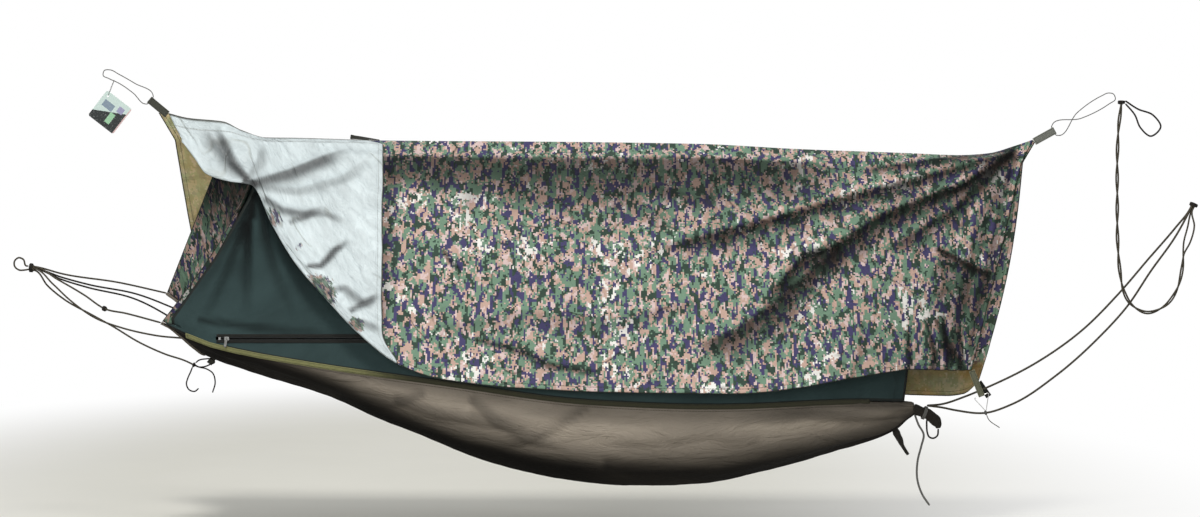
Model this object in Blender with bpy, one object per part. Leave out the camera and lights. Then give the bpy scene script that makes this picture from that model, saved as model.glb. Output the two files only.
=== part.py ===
"""Jungle hammock: a gathered nylon bed, a zipped insect net and a rain canopy.

Metres, +Z up. +X runs along the hammock from head to foot, -Y is the near side with the zip.
The origin is the lower left hanging point, where the head cords go round their fitting.
"""
import math

import bmesh
import bpy
import numpy as np
from mathutils import Matrix, Vector

# Cloth, tape and cord stock
CLOTH = 0.0020
NET_CLOTH = 0.0012
TAPE = 0.0009
WEBBING = 0.0014
WEBBING_WIDTH = 0.022
CORD = 0.0050
ROPE = 0.0058
THIN_CORD = 0.0026
STRING = 0.0012
WIND = 0.0040
WIRE = 0.0022
GAP = 0.0004

# Bed
BED_FOOT_X = 2.500
BED_HALF_WIDTH = 0.266
HEM_BULGE = 0.118
HEM_ROLL = 0.0090
HEM_CLEARANCE = 0.0006
BINDING_WIDTH = 0.013
BINDING_CLEARANCE = 0.0004

# Canopy
HINGE_HEAD_Z = 0.3410
HINGE_FOOT_Z = 0.2785
HINGE_HEAD_X = 0.457
HINGE_FOOT_X = 2.802
HINGE_Y = 0.0175
BAND_SLOPE = math.radians(24)
LAP = 0.003
FLAP_SPREAD = 0.315
FLAP_BILLOW = 0.012
NEAR_CORNER_SHARE = 0.13
FAR_CORNER_SHARE = 0.37
FAR_HEAD_SHARE = 1.05
GATHER_HEIGHT = 0.016
GATHER_HALF_WIDTH = 0.0036
SHORTEST_DROP = 0.006
SHORTEST_STEP = 0.002
FAR_FOOT_BULGE = 0.022
FAR_HEAD_BULGE = 0.012

# Zip along the foot of the near net wall
ZIP_START_X = 0.602
ZIP_LENGTH = 1.400
ZIP_TO_FLAP = 0.093
ZIP_Y = -(FLAP_SPREAD - ZIP_TO_FLAP)
ZIP_Z = -0.206
ZIP_SLOT = 0.0090
ZIP_TAPE_WIDTH = 0.008
ZIP_ROW_WIDTH = 0.0026
ZIP_ROW_DEPTH = 0.0024
ZIP_SLIT = 0.0018
TAPE_OVERRUN = 0.012
STOP_LENGTH = 0.006
SLIDER_REST = 0.010
SLIDER_LENGTH = 0.012
SLIDER_WIDTH = 0.0098
SLIDER_PLATE = 0.0012
SLIDER_POST = 0.0010
BRIDGE_HEIGHT = 0.0066
BRIDGE_BAR = 0.0014
BRIDGE_LEG = 0.0012
PULL_LENGTH = 0.028
PULL_WIDTH = 0.0070
PULL_THICKNESS = 0.0014
PULL_EYE = 0.0015
PULL_RING = 0.0018
PULL_SHOULDER = 0.006
PULL_CHAMFER = 0.003
PULL_LEAN = math.radians(43)

# Straps, ring and tag
TAB_LENGTH = 0.062
CORNER_STRAP_WIDTH = 0.018
HEAD_STRAP_LENGTH = 0.078
HEAD_STRAP_WIDTH = 0.012
CORNER_STRAP_LENGTH = 0.0745
FAR_STRAP_LENGTH = 0.048
RING_SIDE = 0.042
RING_HEIGHT = 0.054
RING_LEAN = math.radians(30)
HEAD_STRAP_EYE = 0.0022
STRAP_OFFSET = 0.0008
TAG_SIDE = 0.088
TAG_THICKNESS = 0.0008
TAG_HOLE = 0.0030
TAG_CHAMFER = 0.004

# Bunched cloth and wound cords
FLUTE = 0.08
SPARE_TURNS = 5.0

# Facets
CORD_STEP = 3.0
BED_COLUMNS, BED_ROWS = 30, 10
FLAP_COLUMNS, FLAP_ROWS = 28, 7
NET_ROWS = 3
END_ROWS = 7
TURNED_SIDES = 12

# Colours
OLIVE = (0.105, 0.092, 0.068)
CORD_GREY = (0.080, 0.072, 0.052)
CAMO_GREEN = (0.125, 0.165, 0.120)
NET_GREEN = (0.030, 0.052, 0.050)
BINDING_GREEN = (0.300, 0.300, 0.115)
WEBBING_GREY = (0.110, 0.112, 0.090)
BLACK = (0.012, 0.012, 0.013)
STEEL = (0.55, 0.56, 0.57)
PAPER = (0.52, 0.60, 0.55)


def clear_scene():
    for item in list(bpy.data.objects):
        bpy.data.objects.remove(item, do_unlink=True)


def finish(name, colour, roughness=0.8, metallic=0.0):
    """The piece's own Principled material."""
    material = bpy.data.materials.new(name)
    material.use_nodes = True
    shader = material.node_tree.nodes["Principled BSDF"]
    shader.inputs["Base Color"].default_value = (*colour, 1.0)
    shader.inputs["Roughness"].default_value = roughness
    shader.inputs["Metallic"].default_value = metallic
    return material


def place(name, data, colour, roughness=0.8, metallic=0.0):
    """Link a mesh or curve as one named object with its own material."""
    data.materials.append(finish(name, colour, roughness, metallic))
    piece = bpy.data.objects.new(name, data)
    bpy.context.scene.collection.objects.link(piece)
    return piece


def smooth_through(points):
    """A monotone cubic through points (s, value, ...): no overshoot, straight where they are."""
    table = np.array(points, dtype=float)
    knots, values = table[:, 0], table[:, 1:]
    step = np.diff(knots)[:, None]
    slope = np.diff(values, axis=0) / step
    tangent = np.empty_like(values)
    tangent[0], tangent[-1] = slope[0], slope[-1]
    for i in range(1, len(knots) - 1):
        before, after = slope[i - 1], slope[i]
        product = before * after
        total = np.where(product > 0, before + after, 1.0)
        tangent[i] = np.where(product > 0, 2 * product / total, 0.0)

    def at(s):
        k = int(np.clip(np.searchsorted(knots, s) - 1, 0, len(knots) - 2))
        h = knots[k + 1] - knots[k]
        t = float(np.clip((s - knots[k]) / h, 0.0, 1.0))
        found = (
            (2 * t**3 - 3 * t**2 + 1) * values[k]
            + (t**3 - 2 * t**2 + t) * h * tangent[k]
            + (3 * t**2 - 2 * t**3) * values[k + 1]
            + (t**3 - t**2) * h * tangent[k + 1]
        )
        return found if len(found) > 1 else float(found[0])

    return at


def route(points, spacing):
    """Even points along a smooth curve through a cord's own route points."""
    knots = [Vector(p) for p in points]
    length = [(b - a).length for a, b in zip(knots, knots[1:])]
    slope = [(b - a) / d for a, b, d in zip(knots, knots[1:], length)]
    tangent = [slope[0]]
    for i in range(1, len(knots) - 1):
        share = length[i - 1] / (length[i - 1] + length[i])
        tangent.append(slope[i - 1] * (1 - share) + slope[i] * share)
    tangent.append(slope[-1])
    fine = []
    for i, d in enumerate(length):
        for step in range(24):
            t = step / 24
            fine.append(
                knots[i] * (2 * t**3 - 3 * t**2 + 1) + tangent[i] * (t**3 - 2 * t**2 + t) * d
                + knots[i + 1] * (3 * t**2 - 2 * t**3) + tangent[i + 1] * (t**3 - t**2) * d
            )
    fine.append(knots[-1])
    travelled = np.concatenate([[0.0], np.cumsum([(q - p).length for p, q in zip(fine, fine[1:])])])
    count = max(4, int(math.ceil(travelled[-1] / spacing)) + 1)
    table = np.array([tuple(p) for p in fine])
    return [
        Vector([np.interp(s, travelled, table[:, axis]) for axis in range(3)])
        for s in np.linspace(0.0, travelled[-1], count)
    ]


def tube(name, points, diameter, colour, cyclic=False, roughness=0.85, metallic=0.0):
    """A round bar along the points, with closed ends."""
    curve = bpy.data.curves.new(name, "CURVE")
    curve.dimensions = "3D"
    curve.bevel_depth = diameter / 2
    curve.bevel_resolution = 2
    curve.use_fill_caps = True
    spline = curve.splines.new("POLY")
    spline.points.add(len(points) - 1)
    for slot, point in zip(spline.points, points):
        slot.co = (*point, 1.0)
    spline.use_cyclic_u = cyclic
    return place(name, curve, colour, roughness, metallic)


def cord(name, points, diameter, colour=CORD_GREY):
    """A free cord: a tube along a smooth curve through its route points."""
    return tube(name, route(points, CORD_STEP * diameter), diameter, colour)


def turned(name, profile, centre, axis, colour):
    """A ring turned round an axis through its centre, from a closed profile of (along, radius)."""
    axis = Vector(axis).normalized()
    across = axis.orthogonal().normalized()
    third = axis.cross(across)
    shaped = bmesh.new()
    rings = []
    for i in range(TURNED_SIDES):
        angle = 2 * math.pi * i / TURNED_SIDES
        out = across * math.cos(angle) + third * math.sin(angle)
        rings.append([shaped.verts.new(axis * along + out * radius) for along, radius in profile])
    for a, b in zip(rings, rings[1:] + rings[:1]):
        for k in range(len(profile)):
            after = (k + 1) % len(profile)
            shaped.faces.new((a[k], a[after], b[after], b[k]))
    bmesh.ops.recalc_face_normals(shaped, faces=shaped.faces[:])
    mesh = bpy.data.meshes.new(name)
    shaped.to_mesh(mesh)
    shaped.free()
    mesh.shade_smooth()
    piece = place(name, mesh, colour)
    piece.location = centre
    return piece


def lashing(name, centre, axis, bundle_radius, diameter, turns, colour=CORD_GREY):
    """The outer shape of a cord wound side by side round a bundle: a bored barrel with a ridge a turn."""
    bore = bundle_radius / math.cos(math.pi / TURNED_SIDES) + GAP
    first = -diameter * turns / 2
    profile = [(first, bore + diameter / 2)]
    for turn in range(turns):
        for angle in (45, 90, 135, 180):
            wrapped = math.radians(angle)
            along = first + diameter * (turn + 0.5 - 0.5 * math.cos(wrapped))
            profile.append((along, bore + diameter / 2 * (1 + math.sin(wrapped))))
    profile += [(-first, bore), (first, bore)]
    return turned(name, profile, centre, axis, colour)


def tapered(name, stations, sides, colour):
    """A closed lump along its stations of (centre, radius), fluted like bunched cloth."""
    centres = [Vector(centre) for centre, radius in stations]
    shaped = bmesh.new()
    rings = []
    for i, (centre, (_, radius)) in enumerate(zip(centres, stations)):
        ahead = (centres[min(i + 1, len(centres) - 1)] - centres[max(i - 1, 0)]).normalized()
        third = Vector((0, 1, 0)).cross(ahead).normalized()
        across = ahead.cross(third)
        rings.append([
            shaped.verts.new(
                centre + (across * math.cos(2 * math.pi * k / sides)
                          + third * math.sin(2 * math.pi * k / sides))
                * radius * (1 + FLUTE * math.cos(math.pi * k))
            )
            for k in range(sides)
        ])
    for a, b in zip(rings, rings[1:]):
        for k in range(sides):
            after = (k + 1) % sides
            shaped.faces.new((a[k], a[after], b[after], b[k]))
    shaped.faces.new(rings[0][::-1])
    shaped.faces.new(rings[-1])
    bmesh.ops.recalc_face_normals(shaped, faces=shaped.faces[:])
    mesh = bpy.data.meshes.new(name)
    shaped.to_mesh(mesh)
    shaped.free()
    mesh.shade_smooth()
    return place(name, mesh, colour)


def pivot(piece, point):
    """Move a piece's origin to a point on its joint axis; its shape stays where it is."""
    bpy.context.view_layer.update()
    shift = piece.matrix_world.inverted() @ Vector(point)
    piece.data.transform(Matrix.Translation(-shift))
    piece.location = Vector(point)
    return piece


def sheet(name, grid, thickness, colour, roughness=0.8, leave_out=None):
    """A solid sheet: grid[row][column] of points on its middle surface, thickened both ways."""
    rows, columns = len(grid), len(grid[0])
    mesh = bpy.data.meshes.new(name)
    points = [tuple(p) for row in grid for p in row]
    faces = []
    for r in range(rows - 1):
        for c in range(columns - 1):
            if leave_out and leave_out(r, c):
                continue
            a = r * columns + c
            faces.append((a, a + 1, a + columns + 1, a + columns))
    mesh.from_pydata(points, [], faces)
    shaped = bmesh.new()
    shaped.from_mesh(mesh)
    loose = [v for v in shaped.verts if not v.link_faces]
    bmesh.ops.delete(shaped, geom=loose, context="VERTS")
    shaped.to_mesh(mesh)
    shaped.free()
    mesh.shade_smooth()
    piece = place(name, mesh, colour, roughness)
    thick = piece.modifiers.new("thickness", "SOLIDIFY")
    thick.thickness = thickness
    thick.offset = 0.0
    thick.use_even_offset = False
    return piece


def plate(name, loops, thickness, colour, roughness=0.8, metallic=0.0):
    """A flat plate, centred on its own XY plane, from an outline and its holes."""
    shaped = bmesh.new()
    edges = []
    for loop in loops:
        corners = [shaped.verts.new((x, y, -thickness / 2)) for x, y in loop]
        for a, b in zip(corners, corners[1:] + corners[:1]):
            edges.append(shaped.edges.new((a, b)))
    bmesh.ops.triangle_fill(shaped, edges=edges, use_beauty=True)
    grown = bmesh.ops.extrude_face_region(shaped, geom=shaped.faces[:])
    top = [v for v in grown["geom"] if isinstance(v, bmesh.types.BMVert)]
    bmesh.ops.translate(shaped, vec=(0, 0, thickness), verts=top)
    bmesh.ops.recalc_face_normals(shaped, faces=shaped.faces[:])
    mesh = bpy.data.meshes.new(name)
    shaped.to_mesh(mesh)
    shaped.free()
    return place(name, mesh, colour, roughness, metallic)


def circle(x, y, radius, sides=12):
    turn = 2 * math.pi / sides
    return [(x + radius * math.cos(turn * i), y + radius * math.sin(turn * i)) for i in range(sides)]


def stand(piece, origin, x_axis, y_axis):
    """Place a piece so that its own X and Y lie along the two axes."""
    x_axis = Vector(x_axis).normalized()
    z_axis = x_axis.cross(Vector(y_axis)).normalized()
    y_axis = z_axis.cross(x_axis)
    turned = Matrix((x_axis, y_axis, z_axis)).transposed().to_4x4()
    piece.matrix_world = Matrix.Translation(Vector(origin)) @ turned
    return piece


def join(piece, other):
    """Union another object into a piece and remove the other."""
    union = piece.modifiers.new("union", "BOOLEAN")
    union.operation = "UNION"
    union.solver = "EXACT"
    union.object = other
    bpy.context.view_layer.update()
    evaluated = piece.evaluated_get(bpy.context.evaluated_depsgraph_get())
    mesh = bpy.data.meshes.new_from_object(evaluated)
    piece.modifiers.clear()
    piece.data = mesh
    bpy.data.objects.remove(other, do_unlink=True)
    return piece


# The bed's lines along its length. x, then z or y, with both edges and the keel
EDGE_Z = smooth_through([
    (0.43, -0.162), (0.57, -0.222), (0.82, -0.270), (1.20, -0.324),
    (1.60, -0.376), (1.95, -0.390), (2.30, -0.382), (2.53, -0.394),
])
FAR_EDGE_LIFT = smooth_through([(0.36, 0.075), (0.70, 0.035), (1.10, 0.0), (2.60, 0.0)])
KEEL_Z = smooth_through([
    (0.43, -0.222), (0.52, -0.258), (0.644, -0.302), (0.868, -0.372), (1.064, -0.456),
    (1.288, -0.546), (1.512, -0.605), (1.68, -0.622), (1.904, -0.615), (2.072, -0.583),
    (2.24, -0.540), (2.408, -0.484), (2.50, -0.4255),
])
WIDTH_SHARE = smooth_through([
    (0.43, 0.75), (0.82, 0.94), (1.52, 1.0), (2.0, 0.84), (2.25, 0.62), (2.42, 0.33), (2.50, 0.045),
])
HEAD_CORNER_X = (0.4277, 0.365)


def half_width(x):
    return BED_HALF_WIDTH * WIDTH_SHARE(x)


def bed_point(along, across):
    """Middle surface of the bed: along 0..1 from the head hem, across -1 (near) to 1 (far)."""
    lean = math.cos(across * math.pi / 2)
    near_x, far_x = HEAD_CORNER_X
    share = (across + 1) / 2
    head_x = near_x + (far_x - near_x) * share + HEM_BULGE * lean**1.2 + HEM_ROLL
    x = head_x + (BED_FOOT_X - head_x) * along
    edge = EDGE_Z(x) + FAR_EDGE_LIFT(x) * share
    depth = edge - KEEL_Z(x)
    fullness = 1.8 - 1.0 * min(1.0, along / 0.25)
    y = half_width(x) * math.sin(across * math.pi / 2)
    return Vector((x, y, edge - depth * lean**fullness))


def edge_line(side):
    """The bed's edge at each of its columns."""
    return [bed_point(c / BED_COLUMNS, side) for c in range(BED_COLUMNS + 1)]


def make_bed():
    grid = [
        [bed_point(c / BED_COLUMNS, -1 + 2 * r / BED_ROWS) for c in range(BED_COLUMNS + 1)]
        for r in range(BED_ROWS + 1)
    ]
    sheet("sling", grid, CLOTH, OLIVE)


def hem_line():
    """Centre of the rolled head hem: one point a row, set off in the plane of the cloth."""
    rows = range(BED_ROWS + 1)
    edge = [bed_point(0.0, -1 + 2 * r / BED_ROWS) for r in rows]
    inner = [bed_point(1 / BED_COLUMNS, -1 + 2 * r / BED_ROWS) for r in rows]
    normals = []
    for r in range(BED_ROWS):
        along = (edge[r + 1] - edge[r]).normalized()
        out = (edge[r] - inner[r]).normalized() + (edge[r + 1] - inner[r + 1]).normalized()
        normals.append((out - along * out.dot(along)).normalized())
    line = []
    for r in rows:
        before, after = normals[max(r - 1, 0)], normals[min(r, BED_ROWS - 1)]
        mitre = (before + after).normalized()
        line.append(edge[r] + mitre * (HEM_ROLL / 2 + HEM_CLEARANCE) / mitre.dot(after))
    return line


def hem_at(share):
    """Point and direction on the hem's centre line: share 0 at the near corner, 1 at the far one."""
    line = hem_line()
    r = min(int(share * BED_ROWS), BED_ROWS - 1)
    return line[r].lerp(line[r + 1], share * BED_ROWS - r), (line[r + 1] - line[r]).normalized()


def make_hem():
    tube("sling_hem_head", hem_line(), HEM_ROLL, OLIVE)


def edge_tape(name, side, first, last):
    """A tape that stands outside a bed edge, from one of its columns to another."""
    line = edge_line(side)[first:last + 1]
    outward = CLOTH / 2 + TAPE / 2 + GAP + BINDING_CLEARANCE
    low, high = [], []
    for i, point in enumerate(line):
        ahead = line[min(i + 1, len(line) - 1)] - line[max(i - 1, 0)]
        out = Vector((-ahead.y, ahead.x, 0)).normalized() * side
        shifted = point + out * outward
        low.append(shifted - Vector((0, 0, BINDING_WIDTH / 2)))
        high.append(shifted + Vector((0, 0, BINDING_WIDTH / 2)))
    return sheet(name, [low, high], TAPE, BINDING_GREEN)


def make_bindings():
    edge_tape("sling_binding_near", -1, 1, BED_COLUMNS - 2)
    edge_tape("sling_binding_far", 1, 1, BED_COLUMNS - 2)


# Canopy lines
RIDGE_Z = smooth_through([
    (0.414, 0.417), (0.47, 0.403), (0.568, 0.393), (0.62, 0.368), (0.69, 0.347), (0.76, 0.346),
    (1.01, 0.3395), (1.54, 0.3355), (1.90, 0.330), (2.18, 0.3155), (2.49, 0.304), (2.63, 0.2985),
    (2.71, 0.3035), (2.786, 0.3248), (2.839, 0.343),
])
RIDGE_HEAD_X = 0.4160
RIDGE_FOOT_X = 2.8370


def hinge_z(x):
    slope = (HINGE_FOOT_Z - HINGE_HEAD_Z) / (HINGE_FOOT_X - HINGE_HEAD_X)
    return HINGE_HEAD_Z + slope * (x - HINGE_HEAD_X)


def band_section(x):
    """Half width and lower edge of the ridge band: the hinge line, drawn in to each gather."""
    hem_z = hinge_z(x) - LAP
    half = HINGE_Y - CLOTH / math.cos(BAND_SLOPE)
    apex = RIDGE_Z(x)
    head = np.clip((x - RIDGE_HEAD_X) / (HINGE_HEAD_X - RIDGE_HEAD_X), 0.0, 1.0)
    foot = np.clip((RIDGE_FOOT_X - x) / (RIDGE_FOOT_X - HINGE_FOOT_X), 0.0, 1.0)
    share = float(min(head, foot))
    low = (apex - GATHER_HEIGHT) * (1 - share) + hem_z * share
    return GATHER_HALF_WIDTH + (half - GATHER_HALF_WIDTH) * share, low, apex


def make_ridge():
    stations = [RIDGE_HEAD_X, 0.436, HINGE_HEAD_X]
    stations += [HINGE_HEAD_X + (HINGE_FOOT_X - HINGE_HEAD_X) * i / 34 for i in range(1, 34)]
    stations += [HINGE_FOOT_X, 2.820, RIDGE_FOOT_X]
    rows = [[] for _ in range(5)]
    for x in stations:
        half, low, apex = band_section(x)
        middle = (low + apex) / 2
        rows[0].append((x, -half, low))
        rows[1].append((x, -half / 2, middle))
        rows[2].append((x, 0.0, apex - CLOTH / 2))
        rows[3].append((x, half / 2, middle))
        rows[4].append((x, half, low))
    sheet("canopy_ridge", rows, CLOTH, CAMO_GREEN)


# Lower edge of each flap: x, y as a share of the spread, z
NEAR_HEM = smooth_through([
    (0.457, 0.075, 0.3390), (0.500, 0.155, 0.285), (0.535, 0.224, 0.243), (0.600, 0.276, 0.222),
    (0.6615, 0.310, 0.213), (0.7327, 0.517, 0.0972), (0.8012, 0.69, -0.0024),
    (0.8835, 0.83, -0.091), (0.9796, 0.93, -0.1886), (1.0911, 1.0, -0.2713),
    (1.1923, 1.0, -0.3086), (1.4108, 1.0, -0.3353), (1.7306, 1.0, -0.347), (2.0, 1.0, -0.349),
    (2.1569, 0.96, -0.3353), (2.3008, 0.85, -0.3113), (2.4714, 0.57, -0.292),
    (2.600, 0.27, -0.300), (2.657, NEAR_CORNER_SHARE, -0.3010),
])
FAR_HEM = smooth_through([
    (0.50, FAR_HEAD_SHARE, -0.26), (0.90, 1.05, -0.33), (1.50, 1.03, -0.37), (2.10, 0.96, -0.385),
    (2.45, 0.78, -0.386), (2.62, 0.49, -0.385), (2.665, 0.42, -0.378),
    (2.705, FAR_CORNER_SHARE, -0.342),
])


def flap_grid(hem, hem_range, top_range, side, bulge):
    """Rows from the hinge line down to the hem."""
    grid = [[] for _ in range(FLAP_ROWS + 1)]
    for c in range(FLAP_COLUMNS + 1):
        share = c / FLAP_COLUMNS
        hem_x = hem_range[0] + (hem_range[1] - hem_range[0]) * share
        spread, hem_z = hem(hem_x)
        late = max(0.0, (share - 0.6) / 0.4)
        early = max(0.0, (0.25 - share) / 0.25)
        top_x = hem_x + (top_range[1] - hem_range[1]) * late**1.5
        top_x += (top_range[0] - hem_range[0]) * early
        top = Vector((top_x, side * HINGE_Y, hinge_z(top_x)))
        bottom = Vector((hem_x, side * spread * FLAP_SPREAD, hem_z))
        if top.z - bottom.z < SHORTEST_DROP:
            bottom.z = top.z - SHORTEST_DROP
            bottom.y = side * (HINGE_Y + SHORTEST_STEP)
        for r in range(FLAP_ROWS + 1):
            down = r / FLAP_ROWS
            belly = math.sin(math.pi * down) * min(1.0, (top - bottom).length / 0.5)
            point = top.lerp(bottom, down)
            point.y += side * FLAP_BILLOW * belly
            point.x += bulge(share) * belly
            grid[r].append(point)
    return grid


def make_flaps():
    near = flap_grid(NEAR_HEM, (HINGE_HEAD_X, 2.657), (HINGE_HEAD_X, HINGE_FOOT_X), -1,
                     lambda share: 0.0)
    near_flap = sheet("canopy_near_flap", near, CLOTH, CAMO_GREEN)
    pivot(near_flap, (HINGE_HEAD_X, -HINGE_Y, HINGE_HEAD_Z))
    far = flap_grid(FAR_HEM, (0.50, 2.705), (0.430, HINGE_FOOT_X + 0.010), 1,
                    lambda share: FAR_FOOT_BULGE * max(0.0, (share - 0.8) / 0.2)
                    - FAR_HEAD_BULGE * max(0.0, 1 - share / 0.2))
    far_flap = sheet("canopy_far_flap", far, CLOTH, CAMO_GREEN)
    pivot(far_flap, (HINGE_HEAD_X, HINGE_Y, HINGE_HEAD_Z))


# Net: top line inside the ridge band, seam line that holds the zip, foot on the bed's edge
NET_TOP_HEAD_X = 0.705
NET_TOP_FOOT_X = 2.560
FAR_TOP_HEAD_X = 0.588
NET_FOOT_X = 2.468
NET_TOP_Y = 0.0117
NET_TOP_DROP = 0.002
NET_LIFT = 0.0022
NET_HEAD_BULGE = 0.028
SEAM_HEAD_X = 0.466
SEAM_FOOT_X = 2.482
ZIP_MARGIN = 0.014
STRIP_CLEARANCE = 0.0007
END_TOP_NEAR = 0.006
END_TOP_FAR = 0.014
ZIP_FIRST, ZIP_LAST = 2, 22
ZIP_RUN = (ZIP_START_X - ZIP_MARGIN, ZIP_START_X + ZIP_LENGTH + ZIP_MARGIN)
SEAM = smooth_through([
    (0.440, ZIP_Y + 0.0225, -0.1500), (0.520, ZIP_Y + 0.0080, -0.1870), (ZIP_RUN[0], ZIP_Y, ZIP_Z),
    (ZIP_RUN[1], ZIP_Y, ZIP_Z), (2.200, ZIP_Y + 0.048, -0.232), (2.490, ZIP_Y + 0.172, -0.300),
])


def net_top(x, side):
    return Vector((x, side * NET_TOP_Y, hinge_z(x) - NET_TOP_DROP))


def net_feet(side):
    """The net's foot stands on the bed's edge, column by column, and stops short of the gather."""
    line = edge_line(side)
    feet = [line[0].lerp(line[1], 0.10)]
    feet += [point for point in line[1:] if point.x < NET_FOOT_X - 0.01]
    share = (NET_FOOT_X - line[len(feet) - 1].x) / (line[len(feet)].x - line[len(feet) - 1].x)
    feet.append(line[len(feet) - 1].lerp(line[len(feet)], share))
    return [point + Vector((0, 0, NET_LIFT)) for point in feet]


def seam_x(column, columns):
    """The seam's stations: the zip's own run fills whole columns."""
    if column <= ZIP_FIRST:
        return SEAM_HEAD_X + (ZIP_RUN[0] - SEAM_HEAD_X) * column / ZIP_FIRST
    if column >= ZIP_LAST:
        share = (column - ZIP_LAST) / (columns - ZIP_LAST)
        return ZIP_RUN[1] + (SEAM_FOOT_X - ZIP_RUN[1]) * share
    return ZIP_RUN[0] + (ZIP_RUN[1] - ZIP_RUN[0]) * (column - ZIP_FIRST) / (ZIP_LAST - ZIP_FIRST)


def make_near_wall():
    """Rows from the ridge: the slope, a flat strip above the slot, the slot, a flat strip, the foot."""
    feet = net_feet(-1)
    columns = len(feet) - 1
    strip = ZIP_TAPE_WIDTH + STRIP_CLEARANCE
    grid = [[] for _ in range(NET_ROWS + 5)]
    for c, foot in enumerate(feet):
        share = c / columns
        x = seam_x(c, columns)
        seam = Vector((x, *SEAM(x)))
        top = net_top(NET_TOP_HEAD_X + (NET_TOP_FOOT_X - NET_TOP_HEAD_X) * share, -1)
        high = seam + Vector((0, 0, ZIP_SLOT / 2))
        low = seam - Vector((0, 0, ZIP_SLOT / 2))
        above = high + Vector((0, 0, strip))
        below = low - Vector((0, 0, min(strip, (low.z - foot.z) * 0.90)))
        for r in range(NET_ROWS + 1):
            down = r / NET_ROWS
            point = top.lerp(above, down)
            point.x += NET_HEAD_BULGE * math.sin(math.pi * down) * (1 - share)
            grid[r].append(point)
        for row, point in zip(grid[NET_ROWS + 1:], (high, low, below, foot)):
            row.append(point)
        straight = max(0.0, (c - ZIP_LAST) / (columns - ZIP_LAST))
        for row in grid:
            level = (row[c].z - foot.z) / (top.z - foot.z)
            row[c] = row[c].lerp(foot.lerp(top, level), straight)

    def in_slot(r, c):
        return r == NET_ROWS + 1 and ZIP_FIRST <= c < ZIP_LAST

    sheet("net_near_wall", grid, NET_CLOTH, NET_GREEN, leave_out=in_slot)


def make_far_wall():
    feet = net_feet(1)
    grid = [[] for _ in range(NET_ROWS + 2)]
    for c, foot in enumerate(feet):
        share = c / (len(feet) - 1)
        top = net_top(FAR_TOP_HEAD_X + (NET_TOP_FOOT_X - FAR_TOP_HEAD_X) * share, 1)
        for r in range(NET_ROWS + 2):
            grid[r].append(top.lerp(foot, r / (NET_ROWS + 1)))
    sheet("net_far_wall", grid, NET_CLOTH, NET_GREEN)


def make_net_ends():
    """Head panel from the hem up to the ridge, and the narrow foot panel."""
    near_top = net_top(NET_TOP_HEAD_X - END_TOP_NEAR, -1)
    far_top = net_top(FAR_TOP_HEAD_X - END_TOP_FAR, 1)
    hem = hem_line()
    grid = []
    for r in range(END_ROWS + 1):
        up = r / END_ROWS
        line = []
        for c, foot in enumerate(hem):
            share = c / BED_ROWS
            top = near_top.lerp(far_top, share)
            start = foot + (top - foot).normalized() * (HEM_ROLL / 2 + NET_CLOTH / 2 + GAP)
            point = start.lerp(top, up)
            point.x += NET_HEAD_BULGE * math.sin(math.pi * up) * (1 - share)
            line.append(point)
        grid.append(line)
    sheet("net_end_head", grid, NET_CLOTH, CAMO_GREEN)

    corner = net_feet(-1)[-1]
    set_off = NET_CLOTH / 2 + GAP * 2
    grid = []
    for r in range(END_ROWS + 1):
        line = []
        for side in (-1, -0.5, 0, 0.5, 1):
            foot = Vector((corner.x + set_off, side * (-corner.y - NET_CLOTH), corner.z))
            top = net_top(NET_TOP_FOOT_X + set_off, side)
            line.append(foot.lerp(top, r / END_ROWS))
        grid.append(line)
    sheet("net_end_foot", grid, NET_CLOTH, CAMO_GREEN)


def box_between(name, low, high, colour, roughness=0.5, metallic=0.0):
    """A square-cornered bar between two opposite corners."""
    low, high = Vector(low), Vector(high)
    size = high - low
    outline = [(0, 0), (size.x, 0), (size.x, size.y), (0, size.y)]
    piece = plate(name, [outline], size.z, colour, roughness, metallic)
    piece.location = low + Vector((0, 0, size.z / 2))
    return piece


# Depths of the zip's layers, measured outward from the net's middle surface
TAPE_IN = NET_CLOTH / 2 + GAP
TAPE_OUT = TAPE_IN + TAPE
ROW_IN = TAPE_OUT - ZIP_ROW_DEPTH / 2 - TAPE / 2
ROW_OUT = ROW_IN + ZIP_ROW_DEPTH
PLATE_OUT = ROW_OUT + GAP
PLATE_IN = ROW_IN - GAP


def make_zip():
    end_x = ZIP_START_X + ZIP_LENGTH
    row_low = ZIP_SLIT / 2
    row_high = row_low + ZIP_ROW_WIDTH
    tape_low = row_high + GAP
    for name, side in (("upper", 1), ("lower", -1)):
        heights = sorted((side * tape_low, side * (tape_low + ZIP_TAPE_WIDTH)))
        box_between(f"zip_tape_{name}",
                    (ZIP_START_X - TAPE_OVERRUN, ZIP_Y - TAPE_OUT, ZIP_Z + heights[0]),
                    (end_x + TAPE_OVERRUN, ZIP_Y - TAPE_IN, ZIP_Z + heights[1]), BLACK, 0.8)
        heights = sorted((side * row_low, side * row_high))
        box_between(f"zip_row_{name}",
                    (ZIP_START_X, ZIP_Y - ROW_OUT, ZIP_Z + heights[0]),
                    (end_x, ZIP_Y - ROW_IN, ZIP_Z + heights[1]), BLACK, 0.45)
    half = row_high
    for name, x in (("head", ZIP_START_X - GAP - STOP_LENGTH), ("foot", end_x + GAP)):
        box_between(f"zip_stop_{name}", (x, ZIP_Y - ROW_OUT, ZIP_Z - half),
                    (x + STOP_LENGTH, ZIP_Y - ROW_IN, ZIP_Z + half), STEEL, 0.35, 1.0)


SLIDER_X = ZIP_START_X + SLIDER_REST + SLIDER_LENGTH / 2
BRIDGE_OUT = PLATE_OUT + SLIDER_PLATE + BRIDGE_HEIGHT
PIVOT_Y = ZIP_Y - BRIDGE_OUT + BRIDGE_BAR / 2


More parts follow.
